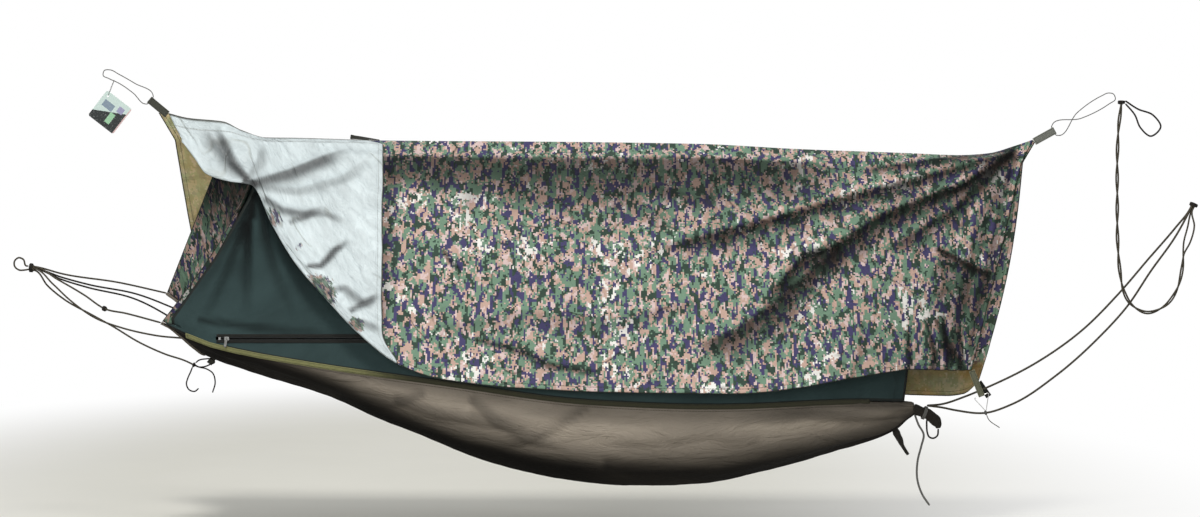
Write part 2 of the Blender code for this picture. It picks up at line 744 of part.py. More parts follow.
def make_slider():
    """Two plates joined by a post that runs in the slit between the rows, and a bridge in front."""
    half = SLIDER_WIDTH / 2
    post = SLIDER_POST / 2
    inner = ZIP_SLOT / 2 - GAP
    profile = [
        (PLATE_OUT + SLIDER_PLATE, half), (PLATE_OUT, half), (PLATE_OUT, post), (PLATE_IN, post),
        (PLATE_IN, inner), (PLATE_IN - SLIDER_PLATE, inner), (PLATE_IN - SLIDER_PLATE, -inner),
        (PLATE_IN, -inner), (PLATE_IN, -post), (PLATE_OUT, -post), (PLATE_OUT, -half),
        (PLATE_OUT + SLIDER_PLATE, -half),
    ]
    body = plate("zip_slider", [profile], SLIDER_LENGTH, STEEL, 0.35, 1.0)
    stand(body, (SLIDER_X, ZIP_Y, ZIP_Z), (0, -1, 0), (0, 0, 1))
    foot = SLIDER_PLATE / 2
    reach = SLIDER_LENGTH * 0.36
    arch = [
        (-reach, PLATE_OUT + foot), (-reach + BRIDGE_LEG, PLATE_OUT + foot),
        (-reach + BRIDGE_LEG, BRIDGE_OUT - BRIDGE_BAR), (reach - BRIDGE_LEG, BRIDGE_OUT - BRIDGE_BAR),
        (reach - BRIDGE_LEG, PLATE_OUT + foot), (reach, PLATE_OUT + foot),
        (reach, BRIDGE_OUT), (-reach, BRIDGE_OUT),
    ]
    bridge = plate("bridge", [arch], BRIDGE_BAR, STEEL, 0.35, 1.0)
    stand(bridge, (SLIDER_X, ZIP_Y, ZIP_Z), (1, 0, 0), (0, -1, 0))
    join(body, bridge)


def make_pull():
    """A moulded pull: an eye round the bridge's bar and a tab that hangs from it."""
    ring_radius = PULL_EYE + PULL_RING / 2
    ring = turned("pull_eye", circle(0, ring_radius, PULL_RING / 2, 8), (SLIDER_X, PIVOT_Y, ZIP_Z),
                  (1, 0, 0), STEEL)
    top = -ring_radius
    half = PULL_WIDTH / 2
    end = top - PULL_LENGTH
    shoulder = top - PULL_SHOULDER
    cut = PULL_CHAMFER
    outline = [(-half * 0.45, top), (half * 0.45, top), (half, shoulder), (half, end + cut),
               (half - cut * 0.7, end), (cut * 0.7 - half, end), (-half, end + cut), (-half, shoulder)]
    tab = plate("zip_pull", [outline], PULL_THICKNESS, STEEL, 0.4, 1.0)
    stand(tab, (SLIDER_X, PIVOT_Y, ZIP_Z), (1, 0, 0), (0, math.sin(PULL_LEAN), math.cos(PULL_LEAN)))
    join(tab, ring)


def webbing_loop(name, end, direction, flat_axis, length, width, eye, colour):
    """A doubled strap from its sewn end to the eye that it makes: the eye's centre is the end of
    length, its axis lies across the strap."""
    half = WEBBING
    outer = eye + WEBBING
    taper = outer * 1.6
    outline = [(0, half), (length - taper - outer, half)]
    for i in range(13):
        angle = math.radians(120 - 20 * i)
        outline.append((length + outer * math.cos(angle), outer * math.sin(angle)))
    outline += [(length - taper - outer, -half), (0, -half)]
    piece = plate(name, [outline, circle(length, 0, eye, 14)], width, colour, 0.85)
    return stand(piece, end, direction, flat_axis)


TAB_HEAD_START = Vector((0.4125, 0.0, 0.4130))
TAB_HEAD_DIR = Vector((-0.77, 0.0, 0.64)).normalized()
TAB_FOOT_START = Vector((2.8402, 0.0, 0.3370))
TAB_FOOT_DIR = Vector((0.875, 0.0, 0.484)).normalized()
TAB_EYE = THIN_CORD / 2 + GAP * 3


def make_tabs():
    webbing_loop("ridge_tab_head", TAB_HEAD_START, TAB_HEAD_DIR, (0, 1, 0), TAB_LENGTH,
                 WEBBING_WIDTH, TAB_EYE, WEBBING_GREY)
    webbing_loop("ridge_tab_foot", TAB_FOOT_START, TAB_FOOT_DIR, (0, 1, 0), TAB_LENGTH,
                 WEBBING_WIDTH, TAB_EYE, WEBBING_GREY)


def ridge_loop(name, start, direction, peg_side_a, peg_side_b, peg):
    """A thin cord loop: out of the tab's eye, round its fitting and back into the eye."""
    eye = start + direction * TAB_LENGTH
    across = Vector((0, 1, 0)).cross(direction)
    out = WEBBING_WIDTH / 2
    points = [
        eye + across * GAP, eye + across * out * 0.55, eye + across * (out + 0.0020),
        eye + across * (out + 0.0055) + direction * 0.004, *peg_side_a, *peg, *peg_side_b,
        eye - across * (out + 0.0055) + direction * 0.004, eye - across * (out + 0.0020),
        eye - across * out * 0.55, eye - across * GAP,
    ]
    return tube(name, route(points, CORD_STEP * THIN_CORD), THIN_CORD, WEBBING_GREY)


def make_ridge_cords():
    ridge_loop("ridge_cord_head", TAB_HEAD_START, TAB_HEAD_DIR,
               [(0.322, 0, 0.500), (0.276, 0, 0.5262)], [(0.278, 0, 0.500), (0.318, 0, 0.472)],
               [(0.252, 0, 0.538), (0.236, 0, 0.536), (0.233, 0, 0.522), (0.248, 0, 0.514)])
    ridge_loop("ridge_cord_foot", TAB_FOOT_START, TAB_FOOT_DIR,
               [(2.960, 0, 0.418), (3.030, 0, 0.466)], [(3.050, 0, 0.4430), (2.970, 0, 0.4020)],
               [(3.046, 0, 0.473), (3.062, 0, 0.470), (3.067, 0, 0.456)])


NEAR_CORNER = Vector((2.6574, -(NEAR_CORNER_SHARE * FLAP_SPREAD + STRAP_OFFSET), -0.3017))
STRAP_DIR = Vector((0.365, 0.0, -0.931)).normalized()
RING_EYE = NEAR_CORNER + STRAP_DIR * CORNER_STRAP_LENGTH
STRAP_EYE = WIRE / 2 + GAP


def make_corner_straps():
    webbing_loop("corner_strap_near_foot", NEAR_CORNER, STRAP_DIR, (0, 1, 0), CORNER_STRAP_LENGTH,
                 CORNER_STRAP_WIDTH, STRAP_EYE, WEBBING_GREY)
    webbing_loop("corner_strap_far_foot", (2.7051, FAR_CORNER_SHARE * FLAP_SPREAD, -0.3428), (0.57, 0, -0.82),
                 (0, 1, 0), FAR_STRAP_LENGTH, CORNER_STRAP_WIDTH, STRAP_EYE, BLACK)
    webbing_loop("corner_strap_far_head", (0.4995, FAR_HEAD_SHARE * FLAP_SPREAD, -0.2606), (-0.6, 0, -0.8),
                 (0, 1, 0), FAR_STRAP_LENGTH, CORNER_STRAP_WIDTH, STRAP_EYE, WEBBING_GREY)
    on_ridge = RIDGE_Z(0.965) + WEBBING
    webbing_loop("corner_strap_near_head", (1.006, 0.0, on_ridge), (-1, 0, 0.06), (0.06, 0, 1),
                 HEAD_STRAP_LENGTH, HEAD_STRAP_WIDTH, HEAD_STRAP_EYE, BLACK)


def make_ring():
    """The bent wire ring that hangs in the near corner's strap and leans in towards the cords."""
    across = Vector((0, 1, 0)).cross(STRAP_DIR)
    hang = STRAP_DIR * math.cos(RING_LEAN) + Vector((0, 1, 0)) * math.sin(RING_LEAN)
    half = RING_SIDE / 2
    bend = RING_SIDE * 0.10
    shape = [
        across * (bend - half), across * 0.0, across * (half - bend),
        across * half + hang * bend * 0.6,
        across * (half - bend * 0.4) + hang * bend * 1.9,
        across * half * 0.45 + hang * RING_HEIGHT * 0.60,
        across * bend * 0.5 + hang * RING_HEIGHT * 0.97,
        hang * RING_HEIGHT,
        across * -bend * 0.5 + hang * RING_HEIGHT * 0.97,
        across * -half * 0.45 + hang * RING_HEIGHT * 0.60,
        across * (bend * 0.4 - half) + hang * bend * 1.9,
        across * -half + hang * bend * 0.6,
    ]
    ring = tube("corner_ring", shape, WIRE, STEEL, cyclic=True, roughness=0.3, metallic=1.0)
    ring.location = RING_EYE


# Bed cords at the head: where each sits in the lashed bundle, and its route from there
CLEW = Vector((0.030, 0.0, -0.016))
BUNDLE_STEP = CORD + GAP * 1.5


def bundle_seat(degrees, ring=1.0):
    angle = math.radians(degrees)
    return Vector((0, math.cos(angle), math.sin(angle))) * BUNDLE_STEP * ring


def hem_end(share, before):
    """Where a cord that comes from a point ends, just clear of the rolled hem or of its tip."""
    centre, along = hem_at(share)
    arriving = (centre - Vector(before)).normalized()
    if share in (0.0, 1.0):
        out = along * (2 * share - 1)
        reach = GAP
    else:
        out = -(arriving - along * arriving.dot(along)).normalized()
        reach = HEM_ROLL / 2 + GAP
    tilt = math.sqrt(max(0.0, 1 - arriving.dot(out) ** 2))
    return centre + out * (reach + CORD / 2 * tilt)


BOW = Vector((0.487, 0.0, -0.288))
BOW_AXIS = Vector((0.90, 0.0, -0.43)).normalized()
BOW_UP = Vector((0, 1, 0)).cross(BOW_AXIS) * -1
BOW_SEAT = CORD / 2 + 2.5 * GAP + WIND
CLEW_KNOT = Vector((0.262, -0.110, -0.128))
CLEW_ROUTES = {
    "clew_cord_a": (60, 1.0, [(0.110, 0.030, -0.033), (0.250, 0.105, -0.058)]),
    "clew_cord_b": (0, 0.84, [(0.110, 0.028, -0.043), (0.180, 0.055, -0.064), (0.300, 0.100, -0.090)]),
    "clew_cord_c": (None, 0.72, [(0.110, 0.014, -0.048), (0.180, 0.030, -0.071),
                                 (0.300, 0.055, -0.101)]),
    "clew_cord_d": (120, 0.0, [(0.112, -0.030, -0.048), (0.200, -0.078, -0.092), CLEW_KNOT,
                               (0.330, -0.150, -0.140)]),
    "clew_cord_e": (180, 0.22, [(0.100, -0.028, -0.062), (0.150, -0.045, -0.105),
                                (0.225, -0.060, -0.155), (0.300, -0.078, -0.181),
                                (0.400, -0.100, -0.202)]),
    "clew_cord_f": (270, None, [(0.078, -0.004, -0.066), (0.128, -0.008, -0.106),
                                (0.205, -0.012, -0.148), (0.260, -0.014, -0.178),
                                (0.340, -0.014, -0.226), (0.410, -0.010, -0.258),
                                BOW - BOW_AXIS * 0.024, BOW - BOW_AXIS * 0.010]),
}


def make_clew():
    for name, (seat, share, middle) in CLEW_ROUTES.items():
        offset = Vector((0, 0, 0)) if seat is None else bundle_seat(seat)
        start = CLEW + offset
        end = BOW if share is None else hem_end(share, middle[-1])
        cord(name, [start - Vector((0.004, 0, 0)), start + Vector((0.012, 0, -0.002)), *middle, end], CORD)
    lashing("clew_lashing", CLEW + Vector((0.002, 0, -0.0002)), (1, 0, -0.12),
            BUNDLE_STEP + CORD / 2 + GAP / 2, WIND, 3)
    hang_loop = [
        CLEW + Vector((-0.0062, -0.0030, 0.0045)), CLEW + Vector((-0.0120, -0.0030, 0.0052)),
        (0.010, -0.002, 0.007), (-0.004, 0.0, 0.0120), (-0.015, 0.0, 0.003), (-0.015, 0.0, -0.012),
        (-0.002, 0.0, -0.0225), (0.012, 0.002, -0.0225), CLEW + Vector((-0.0120, 0.0030, -0.0056)),
        CLEW + Vector((-0.0062, 0.0030, -0.0045)),
    ]
    cord("hang_loop_head", hang_loop, CORD)


def make_bow():
    """The tie below the end hem: a wound knot, one loop and two tails."""
    lashing("bow_knot", BOW, BOW_AXIS, CORD / 2, WIND, 2)
    cord("bow_loop", [BOW + BOW_UP * BOW_SEAT + BOW_AXIS * 0.002, (0.500, 0, -0.2755),
                      (0.518, 0, -0.2715), (0.540, 0, -0.2735), (0.545, 0, -0.2800),
                      (0.532, 0, -0.2870), (0.514, 0, -0.2935), BOW + BOW_AXIS * 0.012,
                      BOW + BOW_AXIS * GAP], WIND)
    cord("bow_tail_hook", [BOW - BOW_UP * BOW_SEAT - BOW_AXIS * 0.001, (0.478, 0, -0.307),
                           (0.470, 0, -0.325), (0.466, 0, -0.342), (0.474, 0, -0.358),
                           (0.490, 0, -0.362), (0.500, 0, -0.354)], WIND)
    cord("bow_tail_knotted", [BOW + Vector((0, BOW_SEAT + GAP * 3, 0)), (0.497, 0.0128, -0.294),
                              (0.520, 0.0125, -0.300), (0.538, 0.010, -0.312),
                              (0.545, 0.008, -0.338), (0.538, 0.006, -0.366)], WIND)


def make_cord_knot():
    """A wound knot on the near head cord."""
    lashing("clew_knot", CLEW_KNOT, (0.83, -0.455, -0.31), CORD / 2 + GAP, WIND, 3)


# Bed foot: the cloth is bunched, lashed and turned down
NECK = Vector((2.5020, 0.0, -0.4105))
NECK_MOUTH = 0.0050
NECK_DIR = Vector((0.93, 0.0, -0.36)).normalized()
NECK_RADIUS = 0.0135
LASHED_AT = 0.033


def make_gather():
    """The bunched end of the bed cloth, a thick tapering roll that turns down past its lashing."""
    stations = [
        (NECK, NECK_RADIUS), (NECK + Vector((NECK_MOUTH, 0, -0.0004)), NECK_RADIUS),
        (NECK + NECK_DIR * 0.020, NECK_RADIUS), (NECK + NECK_DIR * 0.045, NECK_RADIUS),
        ((2.5530, 0, -0.4345), NECK_RADIUS * 1.10), ((2.5640, 0, -0.4450), NECK_RADIUS * 1.05),
        ((2.5700, 0, -0.4560), NECK_RADIUS * 0.80), ((2.5715, 0, -0.4650), NECK_RADIUS * 0.45),
    ]
    tapered("gather_knot_foot", stations, 12, BLACK)
    lashing("gather_lashing_foot", NECK + NECK_DIR * LASHED_AT, NECK_DIR, NECK_RADIUS * (1 + FLUTE), WIND, 3)
    tail = [
        ((2.4480, 0, -0.4638), 0.0062), ((2.4550, 0, -0.4795), 0.0100), ((2.4630, 0, -0.4960), 0.0085),
        ((2.4700, 0, -0.5120), 0.0055), ((2.4780, 0, -0.5260), 0.0045), ((2.4870, 0, -0.5390), 0.0040),
    ]
    tapered("gather_tail_short", tail, 8, BLACK)


def make_foot_cords():
    cord("gather_tail_long", [(2.5050, -0.002, -0.4272), (2.5150, -0.006, -0.4550),
                              (2.5290, -0.008, -0.4820), (2.5220, -0.010, -0.5150),
                              (2.5120, -0.010, -0.5550), (2.5120, -0.010, -0.6130),
                              (2.5250, -0.010, -0.6500), (2.5450, -0.010, -0.6800)], ROPE)
    cord("gather_eye", [(2.5387, 0, -0.4422), (2.5388, 0, -0.4580), (2.5400, 0, -0.4750),
                        (2.5460, 0, -0.4900), (2.5570, 0, -0.4935), (2.5680, 0, -0.4870),
                        (2.5712, 0, -0.4670)], CORD)
    cord("suspension_cord_upper", [(2.5400, 0.0034, -0.4020), (2.5800, 0.0034, -0.3985),
        (2.644, 0.0040, -0.378), (2.705, 0.0045, -0.353), (2.850, 0.0040, -0.280),
        (2.976, 0.0036, -0.190), (3.074, 0.0034, -0.092), (3.160, 0.0033, 0.008),
        (3.236, 0.0032, 0.096), foot_seat(1, 1, -0.016), foot_seat(1, 1, 0.0)], ROPE)
    cord("suspension_cord_lower", [(2.5400, -0.0034, -0.4020), (2.5800, -0.0036, -0.4070),
        (2.620, -0.0040, -0.4150), (2.702, -0.0060, -0.4220), (2.778, -0.0060, -0.397),
        (2.898, -0.0050, -0.319), (3.018, -0.0040, -0.213), (3.100, -0.0036, -0.123),
        (3.165, -0.0034, -0.026), (3.236, -0.0033, 0.0740), foot_seat(-1, 1, -0.016),
        foot_seat(-1, 1, 0.0)], ROPE)


# Wall fittings' ends of the foot cords
FOOT_ANCHOR = Vector((3.2860, 0.0, 0.1600))
FOOT_ANCHOR_AXIS = Vector((0.45, 0.0, 0.89)).normalized()
UPPER_ANCHOR = Vector((3.0805, -0.0140, 0.4460))
UPPER_ANCHOR_AXIS = Vector((0.1, 0.0, 1.0)).normalized()
PAIR_STEP = ROPE / 2 + GAP / 2
CORNER_KNOT = Vector((2.7030, -0.0060, -0.4217))
TAIL_DIR = Vector((0.30, -0.40, -0.86)).normalized()


def foot_seat(side, level, along):
    """One of the four places in the lower lashing, and how far along it."""
    up = Vector((0, 1, 0)).cross(FOOT_ANCHOR_AXIS) * -1
    return FOOT_ANCHOR + Vector((0, side * PAIR_STEP, 0)) + up * level * PAIR_STEP + FOOT_ANCHOR_AXIS * along


def strand(points, turns, phase, radius):
    """One of two strands that wind round each other along a route."""
    line = route(points, CORD_STEP * CORD)
    wound = []
    for i, point in enumerate(line):
        ahead = (line[min(i + 1, len(line) - 1)] - line[max(i - 1, 0)]).normalized()
        side = Vector((0, 1, 0))
        other = ahead.cross(side).normalized()
        angle = phase + 2 * math.pi * turns * i / (len(line) - 1)
        wound.append(point + (side * math.cos(angle) + other * math.sin(angle)) * radius)
    return wound


SPARE_ROUTE = [
    (3.0808, -0.0140, 0.448), (3.0790, -0.0140, 0.430), (3.0730, -0.014, 0.380), (3.0695, -0.014, 0.310),
    (3.0690, -0.014, 0.180), (3.0700, -0.014, 0.060), (3.0770, -0.014, -0.030), (3.0860, -0.014, -0.078),
    (3.105, -0.014, -0.115), (3.1500, -0.014, -0.141), (3.205, -0.014, -0.120),
    (3.2340, -0.014, -0.080), (3.2500, -0.014, -0.020), (3.2540, -0.014, 0.020),
]
SPARE_ENDS = {
    "spare_cord_a": (0.0, [(3.2560, -0.0095, 0.055), (3.2670, -0.0060, 0.095)], 1),
    "spare_cord_b": (math.pi, [(3.2720, -0.0160, 0.055), (3.2850, -0.0110, 0.100)], -1),
}


def make_spare():
    """Two strands wound round each other, which part near the lower fitting."""
    for name, (phase, middle, side) in SPARE_ENDS.items():
        wound = strand(SPARE_ROUTE, SPARE_TURNS, phase, (CORD + 2 * GAP) / 2)
        rest = route([wound[-1], *middle, foot_seat(side, -1, -0.016), foot_seat(side, -1, 0.0)],
                     CORD_STEP * CORD)
        tube(name, wound + rest[1:], CORD, CORD_GREY)


def make_anchors():
    lashing("anchor_lashing_lower", FOOT_ANCHOR, FOOT_ANCHOR_AXIS,
            PAIR_STEP * math.sqrt(2) + ROPE / 2, WIND, 3)
    lashing("anchor_lashing_upper", UPPER_ANCHOR, UPPER_ANCHOR_AXIS, CORD + GAP * 2, WIND, 3)
    cord("anchor_loop_upper", [(3.0917, -0.014, 0.4500), (3.126, -0.012, 0.428), (3.172, -0.006, 0.410),
                               (3.1930, -0.004, 0.378), (3.1650, -0.006, 0.352), (3.1350, -0.010, 0.375),
                               (3.118, -0.012, 0.412), (3.0920, -0.014, 0.4420)], CORD)
    lashing("corner_knot", CORNER_KNOT, (0.99, 0, 0.10), ROPE / 2 + GAP / 2, THIN_CORD, 3)
    start = CORNER_KNOT + TAIL_DIR * (ROPE / 2 + 2 * GAP + THIN_CORD * 1.15)
    cord("corner_tail", [start, start + TAIL_DIR * 0.012, (2.7400, -0.016, -0.4630)], THIN_CORD, WEBBING_GREY)


# Tag: its lower left corner, its sides' directions, and the point of the ridge cord it hangs from
TAG_CORNER = Vector((0.1904, 0.0, 0.4116))
TAG_ALONG = Vector((0.79, 0.0, -0.61)).normalized()
TAG_UP = Vector((0.61, 0.0, 0.79)).normalized()
TAG_INSET = 0.012
TAG_PEG = Vector((0.2630, 0.0, 0.5072))


def make_tag():
    """A bare card that hangs by one corner from a string over the ridge cord."""
    cut = TAG_CHAMFER
    side = TAG_SIDE
    outline = [(cut, 0), (side - cut, 0), (side, cut), (side, side - cut),
               (side - cut, side), (cut, side), (0, side - cut), (0, cut)]
    hole = circle(TAG_INSET, side - TAG_INSET, TAG_HOLE, 12)
    card = plate("hang_tag", [outline, hole], TAG_THICKNESS, PAPER, 0.5)
    stand(card, TAG_CORNER, TAG_ALONG, TAG_UP)
    pivot(card, TAG_PEG)

    eye = TAG_CORNER + TAG_ALONG * TAG_INSET + TAG_UP * (side - TAG_INSET) - TAG_PEG
    fall = eye.normalized()
    over = THIN_CORD / 2 + GAP + STRING / 2
    under = TAG_THICKNESS / 2 + GAP * 2 + STRING / 2
    under_centre = fall * (eye.length - TAG_HOLE - STRING / 2)
    points = []
    for centre, radius, first in ((Vector((0, 0, 0)), over, 0), (under_centre, under, 180)):
        for step in range(9):
            angle = math.radians(first + 22.5 * step)
            points.append(centre + (Vector((0, 1, 0)) * math.cos(angle) - fall * math.sin(angle)) * radius)
    string = tube("hang_tag_string", points, STRING, WEBBING_GREY, cyclic=True)
    string.location = TAG_PEG


def main():
    clear_scene()
    make_bed()
    make_hem()
    make_bindings()
    make_ridge()
    make_flaps()
    make_near_wall()
    make_far_wall()
    make_net_ends()
    make_zip()
    make_slider()
    make_pull()
    make_tabs()
    make_ridge_cords()
    make_corner_straps()
    make_ring()
    make_clew()
    make_bow()
    make_cord_knot()
    make_gather()
    make_foot_cords()
    make_spare()
    make_anchors()
    make_tag()


main()
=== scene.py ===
import math

import bpy
import numpy as np
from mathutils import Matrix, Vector, noise


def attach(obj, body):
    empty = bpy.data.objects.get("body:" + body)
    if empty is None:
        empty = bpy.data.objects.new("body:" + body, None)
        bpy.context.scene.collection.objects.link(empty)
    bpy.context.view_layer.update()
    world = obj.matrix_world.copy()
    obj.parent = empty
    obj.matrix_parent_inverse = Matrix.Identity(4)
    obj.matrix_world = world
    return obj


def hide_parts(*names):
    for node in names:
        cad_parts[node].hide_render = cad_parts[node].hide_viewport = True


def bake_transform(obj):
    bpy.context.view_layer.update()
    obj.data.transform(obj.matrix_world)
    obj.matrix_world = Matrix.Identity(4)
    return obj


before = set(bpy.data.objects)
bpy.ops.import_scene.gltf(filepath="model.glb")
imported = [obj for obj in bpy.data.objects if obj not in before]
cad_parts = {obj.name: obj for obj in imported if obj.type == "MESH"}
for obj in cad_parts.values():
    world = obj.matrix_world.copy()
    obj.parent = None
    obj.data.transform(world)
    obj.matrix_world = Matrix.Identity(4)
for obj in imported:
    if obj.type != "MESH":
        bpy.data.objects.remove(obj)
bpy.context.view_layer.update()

# Photograph and camera
IMAGE_WIDTH, IMAGE_HEIGHT = 1200, 517
METRES_PER_PIXEL = 0.0028
CAMERA_DISTANCE = 6.0
CAMERA_PLACE = (1.624, -CAMERA_DISTANCE, 0.0098)

# Stock sizes
CORD = 0.0050
ROPE = 0.0058
THIN_CORD = 0.0026
STRING = 0.0012
WIND = 0.0040
CORD_STEP = 0.6
CURVE_STEPS = 24
WEBBING = 0.0014
WEBBING_WIDTH = 0.022
CANOPY_CLOTH = 0.0009
BED_CLOTH = 0.0012
NET_CLOTH = 0.0008
GAP = 0.0004


def cubic(t):
    """Weights of a cubic's start, its slope there, its end and its slope there."""
    return 2 * t**3 - 3 * t**2 + 1, t**3 - 2 * t**2 + t, 3 * t**2 - 2 * t**3, t**3 - t**2


def smooth_through(points):
    """A monotone cubic through points (s, value, ...), for whole arrays of s."""
    table = np.array(points, dtype=float)
    knots, values = table[:, 0], table[:, 1:]
    slope = np.diff(values, axis=0) / np.diff(knots)[:, None]
    tangent = np.empty_like(values)
    tangent[0], tangent[-1] = slope[0], slope[-1]
    product = slope[:-1] * slope[1:]
    total = np.where(product > 0, slope[:-1] + slope[1:], 1.0)
    tangent[1:-1] = np.where(product > 0, 2 * product / total, 0.0)

    def at(s):
        s = np.asarray(s, dtype=float)
        k = np.clip(np.searchsorted(knots, s) - 1, 0, len(knots) - 2)
        h = (knots[k + 1] - knots[k])[..., None]
        start, leave, end, arrive = cubic(np.clip((s - knots[k])[..., None] / h, 0.0, 1.0))
        found = (start * values[k] + leave * h * tangent[k]
                 + end * values[k + 1] + arrive * h * tangent[k + 1])
        return found if values.shape[1] > 1 else found[..., 0]

    return at


def travel(points):
    """Length along a line of points, at each of them."""
    return np.concatenate([[0.0], np.cumsum([(b - a).length for a, b in zip(points, points[1:])])])


def route(points, spacing):
    """Even points along a smooth curve through a cord's own route points."""
    knots = [Vector(p) for p in points]
    length = [(b - a).length for a, b in zip(knots, knots[1:])]
    slope = [(b - a) / d for a, b, d in zip(knots, knots[1:], length)]
    tangent = [slope[0]]
    for i in range(1, len(knots) - 1):
        share = length[i - 1] / (length[i - 1] + length[i])
        tangent.append(slope[i - 1] * (1 - share) + slope[i] * share)
    tangent.append(slope[-1])
    fine = []
    for i, d in enumerate(length):
        for step in range(CURVE_STEPS):
            start, leave, end, arrive = cubic(step / CURVE_STEPS)
            fine.append(knots[i] * start + tangent[i] * leave * d
                        + knots[i + 1] * end + tangent[i + 1] * arrive * d)
    fine.append(knots[-1])
    travelled = travel(fine)
    count = max(4, int(math.ceil(travelled[-1] / spacing)) + 1)
    table = np.array([tuple(p) for p in fine])
    return [Vector([np.interp(s, travelled, table[:, axis]) for axis in range(3)])
            for s in np.linspace(0.0, travelled[-1], count)]


# Materials
class Paint:
    """One procedural material, and short ways to add nodes to it."""

    def __init__(self, name, roughness=0.8, metallic=0.0, sheen=0.0, specular=0.12):
        self.material = bpy.data.materials.new(name)
        self.material.use_nodes = True
        self.tree = self.material.node_tree
        self.shader = self.tree.nodes["Principled BSDF"]
        self.preset(self.shader, {"Roughness": roughness, "Metallic": metallic, "Sheen Weight": sheen,
                                  "Specular IOR Level": specular})

    def preset(self, node, values):
        """Fixed values on some of a node's inputs."""
        for name, value in values.items():
            node.inputs[name].default_value = value

    def add(self, kind, **settings):
        made = self.tree.nodes.new(kind)
        for key, value in settings.items():
            setattr(made, key, value)
        return made

    def feed(self, socket, value):
        if isinstance(value, bpy.types.NodeSocket):
            self.tree.links.new(value, socket)
        elif isinstance(value, tuple) and len(value) == 3 and socket.type == "RGBA":
            socket.default_value = (*value, 1.0)
        else:
            socket.default_value = value

    def cloth(self):
        """Metres along and across the cloth."""
        return self.add("ShaderNodeUVMap", uv_map="cloth").outputs["UV"]

    def hem(self):
        """Metres along the nearest hem, and in from it."""
        return self.split(self.add("ShaderNodeUVMap", uv_map="hem").outputs["UV"])[:2]

    def rest(self):
        """Place in the part's own frame."""
        return self.add("ShaderNodeTexCoord").outputs["Object"]

    def named(self, name):
        """A value that the mesh keeps at its points."""
        return self.add("ShaderNodeAttribute", attribute_name=name).outputs["Fac"]

    def tone(self):
        """Painted shade kept at the mesh's points: 1 on open cloth, less in the hollows under folds and on
        shaded places, with a random mottle on some parts.
        """
        return self.named("tone")

    def split(self, vector):
        """The three sockets x, y and z of a vector."""
        made = self.add("ShaderNodeSeparateXYZ")
        self.feed(made.inputs[0], vector)
        return tuple(made.outputs)

    def math(self, operation, a, b=0.0):
        made = self.add("ShaderNodeMath", operation=operation)
        self.feed(made.inputs[0], a)
        self.feed(made.inputs[1], b)
        return made.outputs[0]

    def times(self, a, b):
        return self.math("MULTIPLY", a, b)

    def less(self, a, b):
        return self.math("SUBTRACT", a, b)

    def ranged(self, value, gain, lift):
        """The value times gain, plus lift."""
        return self.math("ADD", self.times(value, gain), lift)

    def vector(self, operation, a, b):
        made = self.add("ShaderNodeVectorMath", operation=operation)
        self.feed(made.inputs[0], a)
        self.feed(made.inputs[1], b)
        return made.outputs[0]

    def noise(self, where, scale, detail=2.0, roughness=0.5, distortion=0.0):
        made = self.add("ShaderNodeTexNoise")
        self.feed(made.inputs["Vector"], where)
        self.preset(made, {"Scale": scale, "Detail": detail, "Roughness": roughness,
                           "Distortion": distortion})
        return made.outputs["Fac"]

    def step(self, value, low, high):
        """0 below low, 1 above high."""
        made = self.add("ShaderNodeMapRange", interpolation_type="SMOOTHSTEP")
        self.feed(made.inputs["Value"], value)
        self.preset(made, {"From Min": low, "From Max": high})
        return made.outputs["Result"]

    def mix(self, share, a, b):
        made = self.add("ShaderNodeMix", data_type="RGBA")
        self.feed(made.inputs[0], share)
        self.feed(made.inputs[6], a)
        self.feed(made.inputs[7], b)
        return made.outputs[2]

    def shade(self, colour, share):
        """The colour times a value."""
        made = self.add("ShaderNodeVectorMath", operation="SCALE")
        self.feed(made.inputs[0], colour)
        self.feed(made.inputs["Scale"], share)
        return made.outputs[0]

    def bump(self, *layers):
        """Layers of (height, distance in metres), one on the other."""
        normal = None
        for height, distance in layers:
            made = self.add("ShaderNodeBump")
            self.preset(made, {"Distance": distance})
            self.feed(made.inputs["Height"], height)
            if normal is not None:
                self.feed(made.inputs["Normal"], normal)
            normal = made.outputs["Normal"]
        self.feed(self.shader.inputs["Normal"], normal)

    def colour(self, value):
        self.feed(self.shader.inputs["Base Color"], value)

    def roughness(self, value):
        self.feed(self.shader.inputs["Roughness"], value)


def weave(paint, where, pitch):
    """Height of a plain weave with that thread pitch."""
    threads = [paint.math("SINE", paint.times(axis, 2 * math.pi / pitch)) for axis in paint.split(where)[:2]]
    return paint.times(*threads)


def stitching(paint, inset, pitch=0.0042, width=0.0009):
    """Mask of a row of stitches that runs along the hem."""
    along, inward = paint.hem()
    row = paint.math("LESS_THAN", paint.math("ABSOLUTE", paint.less(inward, inset)), width)
    dash = paint.math("LESS_THAN", paint.math("FRACT", paint.math("DIVIDE", along, pitch)), STITCH_SHARE)
    return paint.times(row, dash)


# Sewing and weave of the cloths
STITCH_SHARE = 0.62
CANOPY_SEAM_INSET = 0.014
CANOPY_TURNED_HEM = (0.0175, 0.0205)
CANOPY_THREAD = 0.0011
BED_THREAD = 0.0010
NET_THREAD = 0.0018
BRAID_LAY = 0.0046

